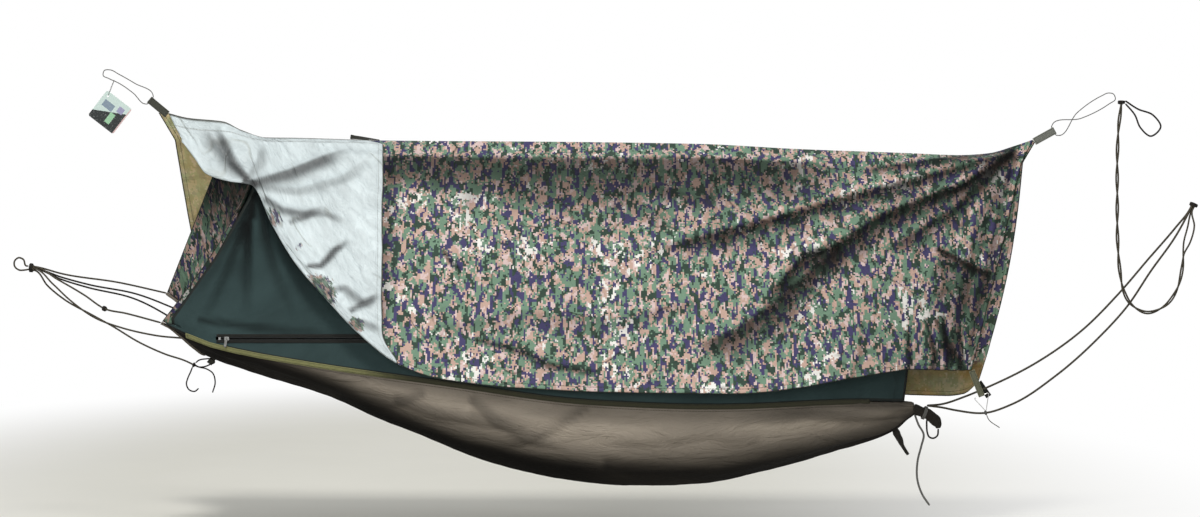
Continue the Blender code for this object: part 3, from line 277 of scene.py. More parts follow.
# Printed pattern: a grid of cells, with clusters of each colour drawn out downwards
PRINT_CELL = 0.0042
PRINT_RAGGED = 0.66
PRINT_GREEN = (0.160, 0.258, 0.180)
PRINT_TAN = (0.510, 0.350, 0.285)
PRINT_ROSE = (0.640, 0.490, 0.465)
PRINT_DARK_GREEN = (0.036, 0.062, 0.046)
PRINT_NAVY = (0.060, 0.054, 0.130)
PRINT_CREAM = (0.790, 0.770, 0.720)
PRINT_BORDER = (0.020, 0.022, 0.018)
PRINT_SEAM = (0.050, 0.060, 0.045)
# Painted shade along short fine creases of the print
PRINT_CREASE_SHADE = (0.022, 0.024, 0.020)
SILVER = (0.515, 0.580, 0.590)
SILVER_BORDER = (0.050, 0.055, 0.045)
SILVER_SEAM = (0.250, 0.260, 0.240)
# Painted shade along the silver coat's sharp creases
SILVER_CREASE_SHADE = (0.300, 0.320, 0.290)
LINING_TAN = (0.560, 0.510, 0.280)
LINING_GREEN = (0.300, 0.330, 0.150)
LINING_RUST = (0.680, 0.400, 0.110)
LINING_BORDER = (0.016, 0.017, 0.014)
LINING_SEAM = (0.060, 0.055, 0.035)
NET_COLOUR = (0.030, 0.052, 0.052)
NET_BORDER = (0.020, 0.024, 0.022)
NET_SEAM = (0.130, 0.140, 0.110)
NET_COVER = 0.93
BED_BROWN = (0.470, 0.406, 0.325)
BED_SEAM = (0.060, 0.052, 0.042)
TAPE_SEAM = (0.050, 0.048, 0.036)
TAPE_SHADOW = (0.030, 0.029, 0.022)


def printed(paint, where):
    """Colour of the cell-printed camouflage."""
    cells = paint.vector("SNAP", where, (PRINT_CELL, PRINT_CELL, PRINT_CELL))

    def layer(shift, scale, detail, drawn):
        stretched = paint.vector("MULTIPLY", cells, (1.0, drawn, 1.0))
        return paint.noise(paint.vector("ADD", stretched, shift), scale, detail, PRINT_RAGGED)

    base = layer((0.0, 0.0, 0.0), 48, 3.0, 0.6)
    green = layer((3.1, 1.7, 0.0), 40, 4.0, 0.55)
    dark = layer((7.3, 4.9, 0.0), 56, 3.0, 0.45)
    navy = layer((1.9, 8.3, 0.0), 58, 3.0, 0.36)
    gathered = paint.noise(paint.vector("ADD", where, (2.4, 6.1, 0.0)), 7.5, 2.0, 0.5)
    splashes = paint.math("ADD", layer((5.7, 2.3, 0.0), 62, 3.0, 0.5), paint.times(gathered, 0.9))
    colour = PRINT_TAN
    for field, level, printed_colour in ((base, 0.53, PRINT_ROSE), (green, 0.500, PRINT_GREEN),
                                         (dark, 0.545, PRINT_DARK_GREEN), (navy, 0.560, PRINT_NAVY),
                                         (splashes, 1.142, PRINT_CREAM)):
        colour = paint.mix(paint.math("GREATER_THAN", field, level), colour, printed_colour)
    return colour


def scattered_lines(paint, where, scale, width, low, high):
    """Mask of short fine crease lines, only in places."""
    field = paint.noise(where, scale, 1.0, 0.5, 0.3)
    near = paint.math("ABSOLUTE", paint.less(field, 0.5))
    here = paint.step(paint.noise(paint.vector("ADD", where, (4.0, 2.0, 0.0)), scale * 0.8, 2.0), low, high)
    return paint.times(paint.less(1.0, paint.step(near, 0.0, width)), here)


def canopy_print():
    """Outside of the canopy: printed, coated nylon with a turned and stitched hem."""
    paint = Paint("canopy_print", roughness=0.62)
    where = paint.cloth()
    inward = paint.hem()[1]
    seam = stitching(paint, CANOPY_SEAM_INSET)
    tone = paint.ranged(paint.noise(where, 3.0, 3.0), 0.35, 0.83)
    # The mesh's tone paints shade in the hollows under the pleats, over a random tone
    colour = paint.shade(paint.shade(printed(paint, where), tone), paint.tone())
    # Painted shade along short fine creases, which also get a small bump
    lines = scattered_lines(paint, where, 9.0, 0.022, 0.50, 0.60)
    colour = paint.mix(paint.times(lines, 0.6), colour, PRINT_CREASE_SHADE)
    colour = paint.mix(seam, colour, PRINT_SEAM)
    paint.colour(paint.mix(paint.step(inward, 0.0010, 0.0035), PRINT_BORDER, colour))
    paint.roughness(paint.ranged(paint.noise(where, 45.0, 2.0), 0.25, 0.50))
    crumpled = paint.noise(where, 17.0, 5.0, 0.60, 0.6)
    turned = paint.step(inward, *CANOPY_TURNED_HEM)
    paint.bump((crumpled, 0.018), (paint.less(0.0, lines), 0.0016), (paint.less(0.0, turned), 0.0006),
               (weave(paint, where, CANOPY_THREAD), 0.00006), (seam, 0.0005))
    return paint.material


def canopy_silver():
    """Inside of the near panel: a bright waterproof coat, sharply creased, with the print rolled in."""
    paint = Paint("canopy_silver", roughness=0.46, specular=0.5)
    where = paint.cloth()
    soft = paint.noise(where, 7.0, 4.0, 0.55, 0.7)
    fine = paint.noise(where, 70.0, 4.0, 0.6, 0.5)
    sharp = scattered_lines(paint, where, 7.5, 0.030, 0.50, 0.62)
    crinkle = paint.noise(where, 26.0, 5.0, 0.62, 0.8)
    # Painted shade: darker where the soft folds and crinkles of the bump sink, along the sharp crease lines,
    # and in the hollows under the creases (the mesh's tone)
    tone = paint.times(paint.ranged(soft, 0.60, 0.70), paint.ranged(crinkle, 0.70, 0.66))
    colour = paint.shade(paint.mix(paint.times(sharp, 0.50), SILVER, SILVER_CREASE_SHADE), tone)
    colour = paint.shade(colour, paint.tone())
    ragged = paint.math("ADD", paint.named("rolled"), paint.times(paint.less(fine, 0.5), 0.9))
    # The print rolled in at the fold edge, at half brightness: painted shade inside the roll
    colour = paint.mix(paint.step(ragged, 0.42, 0.52), colour, paint.shade(printed(paint, where), 0.50))
    seam = stitching(paint, CANOPY_SEAM_INSET)
    colour = paint.mix(paint.times(seam, 0.6), colour, SILVER_SEAM)
    inward = paint.hem()[1]
    paint.colour(paint.mix(paint.step(inward, 0.0012, 0.0044), SILVER_BORDER, colour))
    paint.roughness(paint.ranged(fine, 0.25, 0.34))
    turned = paint.step(inward, *CANOPY_TURNED_HEM)
    paint.bump((soft, 0.016), (crinkle, 0.0050), (paint.less(0.0, sharp), 0.0012), (fine, 0.0006),
               (paint.less(0.0, turned), 0.0006), (seam, 0.0005))
    return paint.material


def far_lining():
    """Inside of the far panel: tan coat with the print showing faintly through."""
    paint = Paint("far_lining", roughness=0.66)
    where = paint.cloth()
    place = paint.split(paint.rest())
    at_foot = paint.step(place[0], 2.50, 2.58)
    high = paint.step(place[2], -0.300, -0.270)
    faint = paint.mix(paint.noise(where, 22.0, 3.0), LINING_GREEN, LINING_TAN)
    warmth = paint.times(paint.step(paint.noise(where, 7.0, 2.0), 0.40, 0.58), 0.75)
    rusty = paint.math("MAXIMUM", paint.times(warmth, at_foot), paint.times(warmth, 0.4))
    warm = paint.mix(rusty, faint, LINING_RUST)
    bled = paint.ranged(paint.times(at_foot, high), 0.80, 0.18)
    colour = paint.mix(bled, warm, paint.shade(printed(paint, where), 1.5))
    # Painted shade on the low foot corner, under the near side's hem
    low_foot = paint.times(at_foot, paint.less(1.0, high))
    colour = paint.shade(colour, paint.less(1.0, paint.times(low_foot, 0.42)))
    seam = stitching(paint, CANOPY_SEAM_INSET)
    colour = paint.mix(seam, colour, LINING_SEAM)
    paint.colour(paint.mix(paint.step(paint.hem()[1], 0.0016, 0.0044), LINING_BORDER, colour))
    paint.bump((paint.noise(where, 15.0, 5.0, 0.6, 0.6), 0.012),
               (weave(paint, where, CANOPY_THREAD), 0.00006), (seam, 0.0005))
    return paint.material


def net_cloth():
    """Fine insect mesh: dark green, a little see-through, with its hexagon-like weave."""
    paint = Paint("net_mesh", roughness=0.70)
    where = paint.cloth()
    mesh = weave(paint, where, NET_THREAD)
    tone = paint.ranged(paint.noise(where, 5.0, 4.0, 0.6, 0.5), 0.9, 0.60)
    # Brighter along the threads and darker in the weave's hollows: painted shade; then the mesh's tone
    # paints shade under the creases
    colour = paint.shade(NET_COLOUR, paint.math("ADD", tone, paint.times(mesh, 0.12)))
    colour = paint.shade(colour, paint.tone())
    colour = paint.mix(stitching(paint, 0.006, 0.0034), colour, NET_SEAM)
    paint.colour(paint.mix(paint.step(paint.hem()[1], 0.0075, 0.0085), NET_BORDER, colour))
    paint.preset(paint.shader, {"Alpha": NET_COVER})
    paint.bump((paint.noise(where, 11.0, 4.0, 0.55, 0.8), 0.010), (mesh, 0.00022))
    return paint.material


def bed_cloth():
    """The bed: brown-grey nylon, softly creased and faintly mottled by wear."""
    paint = Paint("bed_cloth", roughness=0.72)
    where = paint.cloth()
    drawn = paint.vector("MULTIPLY", where, (0.35, 1.0, 1.0))
    mottle = paint.ranged(paint.noise(drawn, 14.0, 5.0, 0.6, 0.5), 0.42, 0.78)
    thread = paint.noise(paint.vector("MULTIPLY", where, (0.08, 1.0, 1.0)), 1400.0, 1.0)
    tone = paint.math("ADD", mottle, paint.times(paint.less(thread, 0.5), 0.10))
    # The mesh's tone paints shade on the bed: under its creases, on its underside, at the head and near edge
    colour = paint.shade(paint.shade(BED_BROWN, tone), paint.tone())
    seam = stitching(paint, 0.012)
    paint.colour(paint.mix(seam, colour, BED_SEAM))
    paint.bump((paint.noise(drawn, 20.0, 6.0, 0.62, 0.9), 0.016),
               (weave(paint, where, BED_THREAD), 0.00008), (seam, 0.0005))
    return paint.material


def woven_tape(name, colour, other, pitch=0.0016, roughness=0.78, painted_shadow_from=None):
    """Webbing and binding: twill ribs, lighter worn edges, two rows of stitches; a painted shadow past a
    given x.
    """
    paint = Paint(name, roughness=roughness, sheen=0.04)
    where = paint.cloth()
    ribs = weave(paint, where, pitch)
    tone = paint.ranged(paint.noise(where, 60.0, 3.0), 0.5, 0.75)
    # Darker between the ribs: painted shade in the grooves of the twill
    shade = paint.mix(paint.step(ribs, -0.5, 0.6), other, colour)
    seam = stitching(paint, 0.0026, 0.0032, 0.0006)
    shade = paint.mix(seam, paint.shade(shade, tone), TAPE_SEAM)
    worn = paint.step(paint.hem()[1], 0.0002, 0.0012)
    shade = paint.mix(worn, paint.shade(colour, 1.35), shade)
    # Painted shadow of the canopy on the tape past that x
    if painted_shadow_from is not None:
        painted_shade = paint.step(paint.split(paint.rest())[0], painted_shadow_from, painted_shadow_from + 0.25)
        shade = paint.mix(paint.times(painted_shade, 0.88), shade, TAPE_SHADOW)
    paint.colour(shade)
    paint.bump((ribs, 0.00035), (seam, 0.0004))
    return paint.material


def braid(name, colour, other, carriers=8):
    """A braided cord: two families of strands that cross, with flecks of a second colour."""
    paint = Paint(name, roughness=0.80, sheen=0.04)
    where = paint.cloth()
    along, around = paint.split(where)[:2]
    lay = paint.times(along, 2 * math.pi / BRAID_LAY)
    turn = paint.times(around, carriers * math.pi)
    plait = paint.times(paint.math("SINE", paint.math("ADD", lay, turn)),
                        paint.math("SINE", paint.less(lay, turn)))
    fleck = paint.step(paint.noise(where, 160.0, 2.0), 0.52, 0.60)
    # Darker between the strands: painted shade in the grooves of the plait; a random tone follows
    shade = paint.shade(paint.mix(fleck, colour, other), paint.ranged(plait, 0.22, 0.86))
    paint.colour(paint.shade(shade, paint.ranged(paint.noise(where, 9.0, 2.0), 0.5, 0.75)))
    paint.bump((plait, 0.0004), (paint.noise(where, 900.0, 1.0), 0.00008))
    return paint.material


def metal(name, colour, roughness):
    """Metal with fine brushing, rubbed bright in random patches."""
    paint = Paint(name, roughness=roughness, metallic=1.0)
    where = paint.rest()
    brushed = paint.noise(paint.vector("MULTIPLY", where, (60.0, 60.0, 900.0)), 8.0, 3.0)
    rubbed = paint.noise(where, 240.0, 4.0, 0.65)
    bright = tuple(min(1.0, 2.1 * c) for c in colour)
    paint.colour(paint.mix(paint.step(rubbed, 0.50, 0.68), colour, bright))
    paint.roughness(paint.ranged(brushed, 0.30, roughness - 0.12))
    paint.bump((brushed, 0.00004), (rubbed, 0.00005))
    return paint.material


def teeth_plastic():
    """Black moulded plastic of the zip's teeth."""
    paint = Paint("zip_teeth", roughness=0.38)
    where = paint.rest()
    paint.colour(paint.mix(paint.noise(where, 300.0, 2.0), (0.008, 0.009, 0.009), (0.030, 0.032, 0.031)))
    paint.roughness(paint.ranged(paint.noise(where, 700.0, 2.0), 0.3, 0.25))
    paint.bump((paint.noise(where, 900.0, 2.0), 0.00004))
    return paint.material


# Mesh building
WELD_REACH = 0.00002
NO_HEM = 9.0


def placed(name, data):
    """A new object of the scene that shows that data."""
    made = bpy.data.objects.new(name, data)
    bpy.context.scene.collection.objects.link(made)
    return made


def stand_in(piece, node, body="hammock"):
    """Let a piece ride on a body in place of one of the part's nodes, which it hides."""
    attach(piece, body)
    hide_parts(node)


def cloth_mesh(name, grids, materials, thickness):
    """One sheet from the facts of its grids, joined where their rows end on the same points."""
    points, faces, uvs, hems = [], [], [], []
    rolled, tone = [], []
    for grid in grids:
        rows, columns = grid["points"].shape[:2]
        first = len(points)
        points.extend(map(tuple, grid["points"].reshape(-1, 3)))
        rolled.extend(grid.get("rolled", np.zeros((rows, columns))).ravel())
        tone.extend(grid.get("tone", np.ones((rows, columns))).ravel())
        leave = grid.get("leave_out", np.zeros((rows, columns), bool))
        for r in range(rows - 1):
            for c in range(columns - 1):
                if leave[r, c]:
                    continue
                a = first + r * columns + c
                corners = ((r, c), (r, c + 1), (r + 1, c + 1), (r + 1, c))
                faces.append((a, a + 1, a + columns + 1, a + columns))
                uvs.extend((grid["along"][i], grid["across"][i]) for i in corners)
                hems.extend((grid["hem_along"][i], grid["hem_in"][i]) for i in corners)
    mesh = bpy.data.meshes.new(name)
    mesh.from_pydata(points, [], faces)
    for layer, values in (("cloth", uvs), ("hem", hems)):
        mesh.uv_layers.new(name=layer).data.foreach_set("uv", np.array(values, np.float32).ravel())
    for layer, values in (("rolled", rolled), ("tone", tone)):
        mesh.attributes.new(layer, "FLOAT", "POINT").data.foreach_set("value", np.array(values, np.float32))
    mesh.shade_smooth()
    for material in materials:
        mesh.materials.append(material)
    piece = placed(name, mesh)
    weld = piece.modifiers.new("weld", "WELD")
    weld.merge_threshold = WELD_REACH
    bpy.context.view_layer.update()
    welded = bpy.data.meshes.new_from_object(piece.evaluated_get(bpy.context.evaluated_depsgraph_get()))
    piece.modifiers.clear()
    piece.data = welded
    thick = piece.modifiers.new("thickness", "SOLIDIFY")
    thick.thickness = thickness
    thick.offset = 0.0
    thick.use_even_offset = False
    if len(materials) > 1:
        thick.material_offset = 1
    return piece


def ramp(value, width):
    """0 at 0, and 1 from that width on."""
    return np.clip(value / width, 0, 1)


def held(share, start, end):
    """Freedom of a sheet that is held at both ends of a share: 0 at 0 and at 1, and 1 between."""
    return ramp(share, start) * ramp(1 - share, end)


def grid_shares(rows, columns):
    """Shares down and along a grid of that many rows and columns of faces."""
    return np.meshgrid(np.linspace(0, 1, rows + 1), np.linspace(0, 1, columns + 1), indexing="ij")


def metres_down(points):
    """Metres down each column of a grid, from its first row."""
    steps = np.linalg.norm(np.diff(points, axis=0), axis=2)
    return np.concatenate([np.zeros((1, points.shape[1])), np.cumsum(steps, axis=0)], axis=0)


def measured(points, top_hem=True, bottom_hem=True, left_hem=True, right_hem=True):
    """Facts of a sheet's grid: metres along and across it, and along and in from its nearest hem."""
    along = metres_down(points.swapaxes(0, 1)).T
    along = along - along.mean(axis=1, keepdims=True)
    across = metres_down(points)
    insets = [
        across if top_hem else np.full_like(across, NO_HEM),
        across[-1:] - across if bottom_hem else np.full_like(across, NO_HEM),
        along - along[:, :1] if left_hem else np.full_like(along, NO_HEM),
        along[:, -1:] - along if right_hem else np.full_like(along, NO_HEM),
    ]
    hem_along = np.where(np.argmin(insets, axis=0) < 2, along, across)
    return {"points": points, "along": along, "across": across,
            "hem_along": hem_along, "hem_in": np.min(insets, axis=0)}


def crumple(points, scale, height, seed=0.0, stretch=(1.0, 1.0, 1.0)):
    """Smooth noise of that height at each point."""
    flat = points.reshape(-1, 3) * np.array(stretch) * scale + seed
    found = np.array([noise.noise(Vector(p)) for p in flat])
    return (found * height).reshape(points.shape[:2])


def tube_mesh(name, path, radius, material, sides=10, lump=None, taper=0.0):
    """A mesh tube along a path, with its length in metres and its turn as the cloth map."""
    count = len(path)
    points = np.array([tuple(p) for p in path])
    ahead = np.gradient(points, axis=0)
    ahead /= np.linalg.norm(ahead, axis=1)[:, None]
    travelled = metres_down(points[:, None])[:, 0]
    angles = np.arange(sides) * 2 * math.pi / sides
    side = np.cross(ahead[0], (0.0, 1.0, 0.0))
    if np.linalg.norm(side) < 0.1:
        side = np.cross(ahead[0], (0.0, 0.0, 1.0))
    rows = []
    for i in range(count):
        side = side - ahead[i] * side.dot(ahead[i])
        side /= np.linalg.norm(side)
        other = np.cross(ahead[i], side)
        reach = np.full(sides, radius)
        if lump:
            reach = reach * np.array([lump(travelled[i], angle) for angle in angles])
        if taper:
            from_end = min(travelled[i], travelled[-1] - travelled[i])
            reach = reach * (1 - taper * math.exp(-(from_end / radius) ** 2))
        rows.append(points[i] + np.outer(np.cos(angles) * reach, side)
                    + np.outer(np.sin(angles) * reach, other))
    corners = np.array(rows).reshape(-1, 3)
    faces, uvs = [], []
    for i in range(count - 1):
        for k in range(sides):
            after = (k + 1) % sides
            faces.append((i * sides + k, i * sides + after, (i + 1) * sides + after, (i + 1) * sides + k))
            a, b = k / sides, (k + 1) / sides
            uvs += [(travelled[i], a), (travelled[i], b), (travelled[i + 1], b), (travelled[i + 1], a)]
    for first, order in ((0, range(sides - 1, -1, -1)), ((count - 1) * sides, range(sides))):
        faces.append(tuple(first + k for k in order))
        uvs += [(travelled[0 if first == 0 else -1], k / sides) for k in order]
    mesh = bpy.data.meshes.new(name)
    mesh.from_pydata([tuple(p) for p in corners], [], faces)
    mesh.uv_layers.new(name="cloth").data.foreach_set("uv", np.array(uvs, np.float32).ravel())
    mesh.shade_smooth()
    mesh.materials.append(material)
    return placed(name, mesh)


# Camera
def make_camera():
    """The photograph's camera: level, straight at the near side."""
    camera = placed("camera", bpy.data.cameras.new("camera"))
    camera.location = CAMERA_PLACE
    camera.rotation_euler = (math.pi / 2, 0, 0)
    camera.data.sensor_fit = "HORIZONTAL"
    camera.data.angle = 2 * math.atan(IMAGE_WIDTH / 2 * METRES_PER_PIXEL / CAMERA_DISTANCE)
    camera.data.clip_end = 100
    bpy.context.scene.camera = camera


make_camera()

OLIVE_BRAID = braid("cord_olive", (0.062, 0.054, 0.038), (0.120, 0.108, 0.080))
DARK_BRAID = braid("cord_dark", (0.016, 0.014, 0.012), (0.044, 0.039, 0.032))
GREY_BRAID = braid("cord_grey", (0.150, 0.148, 0.138), (0.260, 0.255, 0.235))
PALE_BRAID = braid("cord_pale", (0.250, 0.250, 0.240), (0.400, 0.395, 0.370), 6)

# Free cords: name, diameter, length, far end, lay, material and the part's own route points
CORDS = [
    ("ridge_cord_head", THIN_CORD, 0.354, "object", "taut", GREY_BRAID, [
        (0.3651, 0.0, 0.4529), (0.3687, 0.0, 0.4573), (0.3731, 0.0, 0.4626), (0.3723, 0.0, 0.4679),
        (0.322, 0.0, 0.5), (0.276, 0.0, 0.5262), (0.252, 0.0, 0.538), (0.236, 0.0, 0.536),
        (0.233, 0.0, 0.522), (0.248, 0.0, 0.514), (0.278, 0.0, 0.5), (0.318, 0.0, 0.472),
        (0.3512, 0.0, 0.4425), (0.3565, 0.0, 0.4426), (0.361, 0.0, 0.448), (0.3646, 0.0, 0.4523)]),
    ("ridge_cord_foot", THIN_CORD, 0.456, "object", "taut", GREY_BRAID, [
        (2.8946, 0.0, 0.3667), (2.8974, 0.0, 0.3617), (2.9007, 0.0, 0.3556), (2.9059, 0.0, 0.3545),
        (2.96, 0.0, 0.418), (3.03, 0.0, 0.466), (3.046, 0.0, 0.473), (3.062, 0.0, 0.47),
        (3.067, 0.0, 0.456), (3.05, 0.0, 0.443), (2.97, 0.0, 0.402), (2.89, 0.0, 0.3834),
        (2.8882, 0.0, 0.3784), (2.8915, 0.0, 0.3723), (2.8943, 0.0, 0.3674)]),
    ("clew_cord_a", CORD, 0.407, "object", "taut", OLIVE_BRAID, [
        (0.026, 0.0028, -0.0112), (0.042, 0.0028, -0.0132), (0.11, 0.03, -0.033),
        (0.25, 0.105, -0.058), (0.3692, 0.1968, -0.09)]),
    ("clew_cord_b", CORD, 0.453, "object", "taut", DARK_BRAID, [
        (0.026, 0.0056, -0.016), (0.042, 0.0056, -0.018), (0.11, 0.028, -0.043),
        (0.18, 0.055, -0.064), (0.3, 0.1, -0.09), (0.4257, 0.1655, -0.1442)]),
    ("clew_cord_c", CORD, 0.502, "object", "taut", DARK_BRAID, [
        (0.026, 0.0, -0.016), (0.042, 0.0, -0.018), (0.11, 0.014, -0.048),
        (0.18, 0.03, -0.071), (0.3, 0.055, -0.101), (0.469, 0.1225, -0.2014)]),
    ("clew_cord_d", CORD, 0.484, "object", "taut", OLIVE_BRAID, [
        (0.026, -0.0028, -0.0112), (0.042, -0.0028, -0.0132), (0.112, -0.03, -0.048),
        (0.2, -0.078, -0.092), (0.262, -0.11, -0.128), (0.33, -0.15, -0.14), (0.4336, -0.196, -0.1638)]),
    ("clew_cord_e", CORD, 0.538, "object", "taut", OLIVE_BRAID, [
        (0.026, -0.0056, -0.016), (0.042, -0.0056, -0.018), (0.1, -0.028, -0.062),
        (0.15, -0.045, -0.105), (0.225, -0.06, -0.155), (0.3, -0.078, -0.181),
        (0.4, -0.1, -0.202), (0.4828, -0.1534, -0.2074)]),
    ("clew_cord_f", CORD, 0.542, "object", "taut", OLIVE_BRAID, [
        (0.026, 0.0, -0.0216), (0.042, 0.0, -0.0236), (0.078, -0.004, -0.066),
        (0.128, -0.008, -0.106), (0.205, -0.012, -0.148), (0.26, -0.014, -0.178),
        (0.34, -0.014, -0.226), (0.41, -0.01, -0.258), (0.4653, 0.0, -0.2777),
        (0.478, 0.0, -0.2837), (0.487, 0.0, -0.288)]),
    ("hang_loop_head", CORD, 0.115, "object", "taut", OLIVE_BRAID, [
        (0.0238, -0.003, -0.0115), (0.018, -0.003, -0.0108), (0.01, -0.002, 0.007),
        (-0.004, 0.0, 0.012), (-0.015, 0.0, 0.003), (-0.015, 0.0, -0.012),
        (-0.002, 0.0, -0.0225), (0.012, 0.002, -0.0225), (0.018, 0.003, -0.0216),
        (0.0238, 0.003, -0.0205)]),
    ("bow_loop", WIND, 0.122, "object", "loose", DARK_BRAID, [
        (0.492, 0.0, -0.2821), (0.5, 0.0, -0.2755), (0.518, 0.0, -0.2715), (0.54, 0.0, -0.2735),
        (0.545, 0.0, -0.28), (0.532, 0.0, -0.287), (0.514, 0.0, -0.2935), (0.4978, 0.0, -0.2932),
        (0.4874, 0.0, -0.2882)]),
    ("bow_tail_hook", WIND, 0.099, "bare", "hanging", DARK_BRAID, [
        (0.4829, 0.0, -0.2943), (0.478, 0.0, -0.307), (0.47, 0.0, -0.325), (0.466, 0.0, -0.342),
        (0.474, 0.0, -0.358), (0.49, 0.0, -0.362), (0.5, 0.0, -0.354)]),
    ("bow_tail_knotted", WIND, 0.115, "knot", "hanging", DARK_BRAID, [
        (0.487, 0.0087, -0.288), (0.497, 0.0128, -0.294), (0.52, 0.0125, -0.3),
        (0.538, 0.01, -0.312), (0.545, 0.008, -0.338), (0.538, 0.006, -0.366)]),
    ("gather_tail_long", ROPE, 0.270, "bare", "hanging", GREY_BRAID, [
        (2.505, -0.002, -0.4272), (2.515, -0.006, -0.455), (2.529, -0.008, -0.482),
        (2.522, -0.01, -0.515), (2.512, -0.01, -0.555), (2.512, -0.01, -0.613),
        (2.525, -0.01, -0.65), (2.545, -0.01, -0.68)]),
    ("gather_eye", CORD, 0.095, "object", "hanging", DARK_BRAID, [
        (2.5387, 0.0, -0.4422), (2.5388, 0.0, -0.458), (2.54, 0.0, -0.475), (2.546, 0.0, -0.49),
        (2.557, 0.0, -0.4935), (2.568, 0.0, -0.487), (2.5712, 0.0, -0.467)]),
    ("suspension_cord_upper", ROPE, 0.959, "object", "taut", OLIVE_BRAID, [
        (2.54, 0.0034, -0.402), (2.58, 0.0034, -0.3985), (2.644, 0.004, -0.378),
        (2.705, 0.0045, -0.353), (2.85, 0.004, -0.28), (2.976, 0.0036, -0.19),
        (3.074, 0.0034, -0.092), (3.16, 0.0033, 0.008), (3.236, 0.0032, 0.096),
        (3.276, 0.0031, 0.1471), (3.2832, 0.0031, 0.1614)]),
    ("suspension_cord_lower", ROPE, 1.008, "object", "taut", OLIVE_BRAID, [
        (2.54, -0.0034, -0.402), (2.58, -0.0036, -0.407), (2.62, -0.004, -0.415),
        (2.702, -0.006, -0.422), (2.778, -0.006, -0.397), (2.898, -0.005, -0.319),
        (3.018, -0.004, -0.213), (3.1, -0.0036, -0.123), (3.165, -0.0034, -0.026),
        (3.236, -0.0033, 0.074), (3.276, -0.0031, 0.1471), (3.2832, -0.0031, 0.1614)]),
    ("anchor_loop_upper", CORD, 0.290, "object", "loose", DARK_BRAID, [
        (3.0917, -0.014, 0.45), (3.126, -0.012, 0.428), (3.172, -0.006, 0.41),
        (3.193, -0.004, 0.378), (3.165, -0.006, 0.352), (3.135, -0.01, 0.375),
        (3.118, -0.012, 0.412), (3.092, -0.014, 0.442)]),
    ("corner_tail", THIN_CORD, 0.053, "bare", "hanging", GREY_BRAID, [
        (2.705, -0.0087, -0.4275), (2.7086, -0.0135, -0.4379), (2.74, -0.016, -0.463)]),
]

# Spare cord: two strands wound round each other, which part near the lower fitting
SPARE_TURNS = 5.0
SPARE_ROUTE = [
    (3.0808, -0.0140, 0.448), (3.0790, -0.0140, 0.430), (3.0730, -0.014, 0.380), (3.0695, -0.014, 0.310),
    (3.0690, -0.014, 0.180), (3.0700, -0.014, 0.060), (3.0770, -0.014, -0.030), (3.0860, -0.014, -0.078),
    (3.105, -0.014, -0.115), (3.1500, -0.014, -0.141), (3.205, -0.014, -0.120),
    (3.2340, -0.014, -0.080), (3.2500, -0.014, -0.020), (3.2540, -0.014, 0.020),
]
SPARE_ENDS = {
    "spare_cord_a": (0.0, 0.985, [(3.2560, -0.0095, 0.055), (3.2670, -0.0060, 0.095),
                                  (3.2815, 0.0031, 0.1443), (3.2888, 0.0031, 0.1586)]),
    "spare_cord_b": (math.pi, 0.987, [(3.2720, -0.0160, 0.055), (3.2850, -0.0110, 0.100),
                                      (3.2815, -0.0031, 0.1443), (3.2888, -0.0031, 0.1586)]),
}


def plaited(diameter):
    """Lumps of a braid's strands on a cord of that diameter."""
    def lump(along, angle):
        lay = 2 * math.pi * along / (diameter * 2.2)
        return 0.97 + 0.05 * math.sin(lay + 2 * angle) * math.sin(lay - 2 * angle)
    return lump


def make_cord(name, path, diameter, length, far_end, lay, material):
    """A braided cord along its path, with rounded ends, standing in for its node."""
    piece = tube_mesh(f"{name}_braid", path, diameter / 2, material, 12, plaited(diameter), 0.25)
    declare_cord(name, piece, "hammock", diameter, length, far_end, lay)


def declare_cord(name, piece, body, diameter, length, far_end, lay):
    """Let a piece stand in for its cord's node."""
    stand_in(piece, name, body)


def make_cords():
    """Every cord of the table, along a smooth curve through its route points."""
    for name, diameter, length, far_end, lay, material, points in CORDS:
        make_cord(name, route(points, diameter * CORD_STEP), diameter, length, far_end, lay, material)


def make_spare_cords():
    """Two strands wound round each other along one line, each with its own end."""
    line = route(SPARE_ROUTE, 3.0 * CORD)
    for name, (phase, length, end) in SPARE_ENDS.items():
        wound = []
        for i, point in enumerate(line):
            ahead = (line[min(i + 1, len(line) - 1)] - line[max(i - 1, 0)]).normalized()
            side = Vector((0, 1, 0))
            other = ahead.cross(side).normalized()
            angle = phase + 2 * math.pi * SPARE_TURNS * i / (len(line) - 1)
            wound.append(point + (side * math.cos(angle) + other * math.sin(angle)) * (CORD + 2 * GAP) / 2)
        path = route([tuple(p) for p in wound] + end, CORD * CORD_STEP)
        make_cord(name, path, CORD, length, "object", "hanging", OLIVE_BRAID)


make_cords()
make_spare_cords()

# Cloth shapes: the part's own lines, for whole arrays of places
BED_FOOT_X = 2.500
BED_HALF_WIDTH = 0.266
HEM_BULGE = 0.118
HEM_ROLL = 0.0090
HEM_CLEARANCE = 0.0006
BED_COLUMNS, BED_ROWS = 30, 10
HEAD_CORNER_X = (0.4277, 0.365)
EDGE_Z = smooth_through([
    (0.43, -0.162), (0.57, -0.222), (0.82, -0.270), (1.20, -0.324),
    (1.60, -0.376), (1.95, -0.390), (2.30, -0.382), (2.53, -0.394),
])
FAR_EDGE_LIFT = smooth_through([(0.36, 0.075), (0.70, 0.035), (1.10, 0.0), (2.60, 0.0)])
KEEL_Z = smooth_through([
    (0.43, -0.222), (0.52, -0.258), (0.644, -0.302), (0.868, -0.372), (1.064, -0.456),
    (1.288, -0.546), (1.512, -0.605), (1.68, -0.622), (1.904, -0.615), (2.072, -0.583),
    (2.24, -0.540), (2.408, -0.484), (2.50, -0.4255),
])
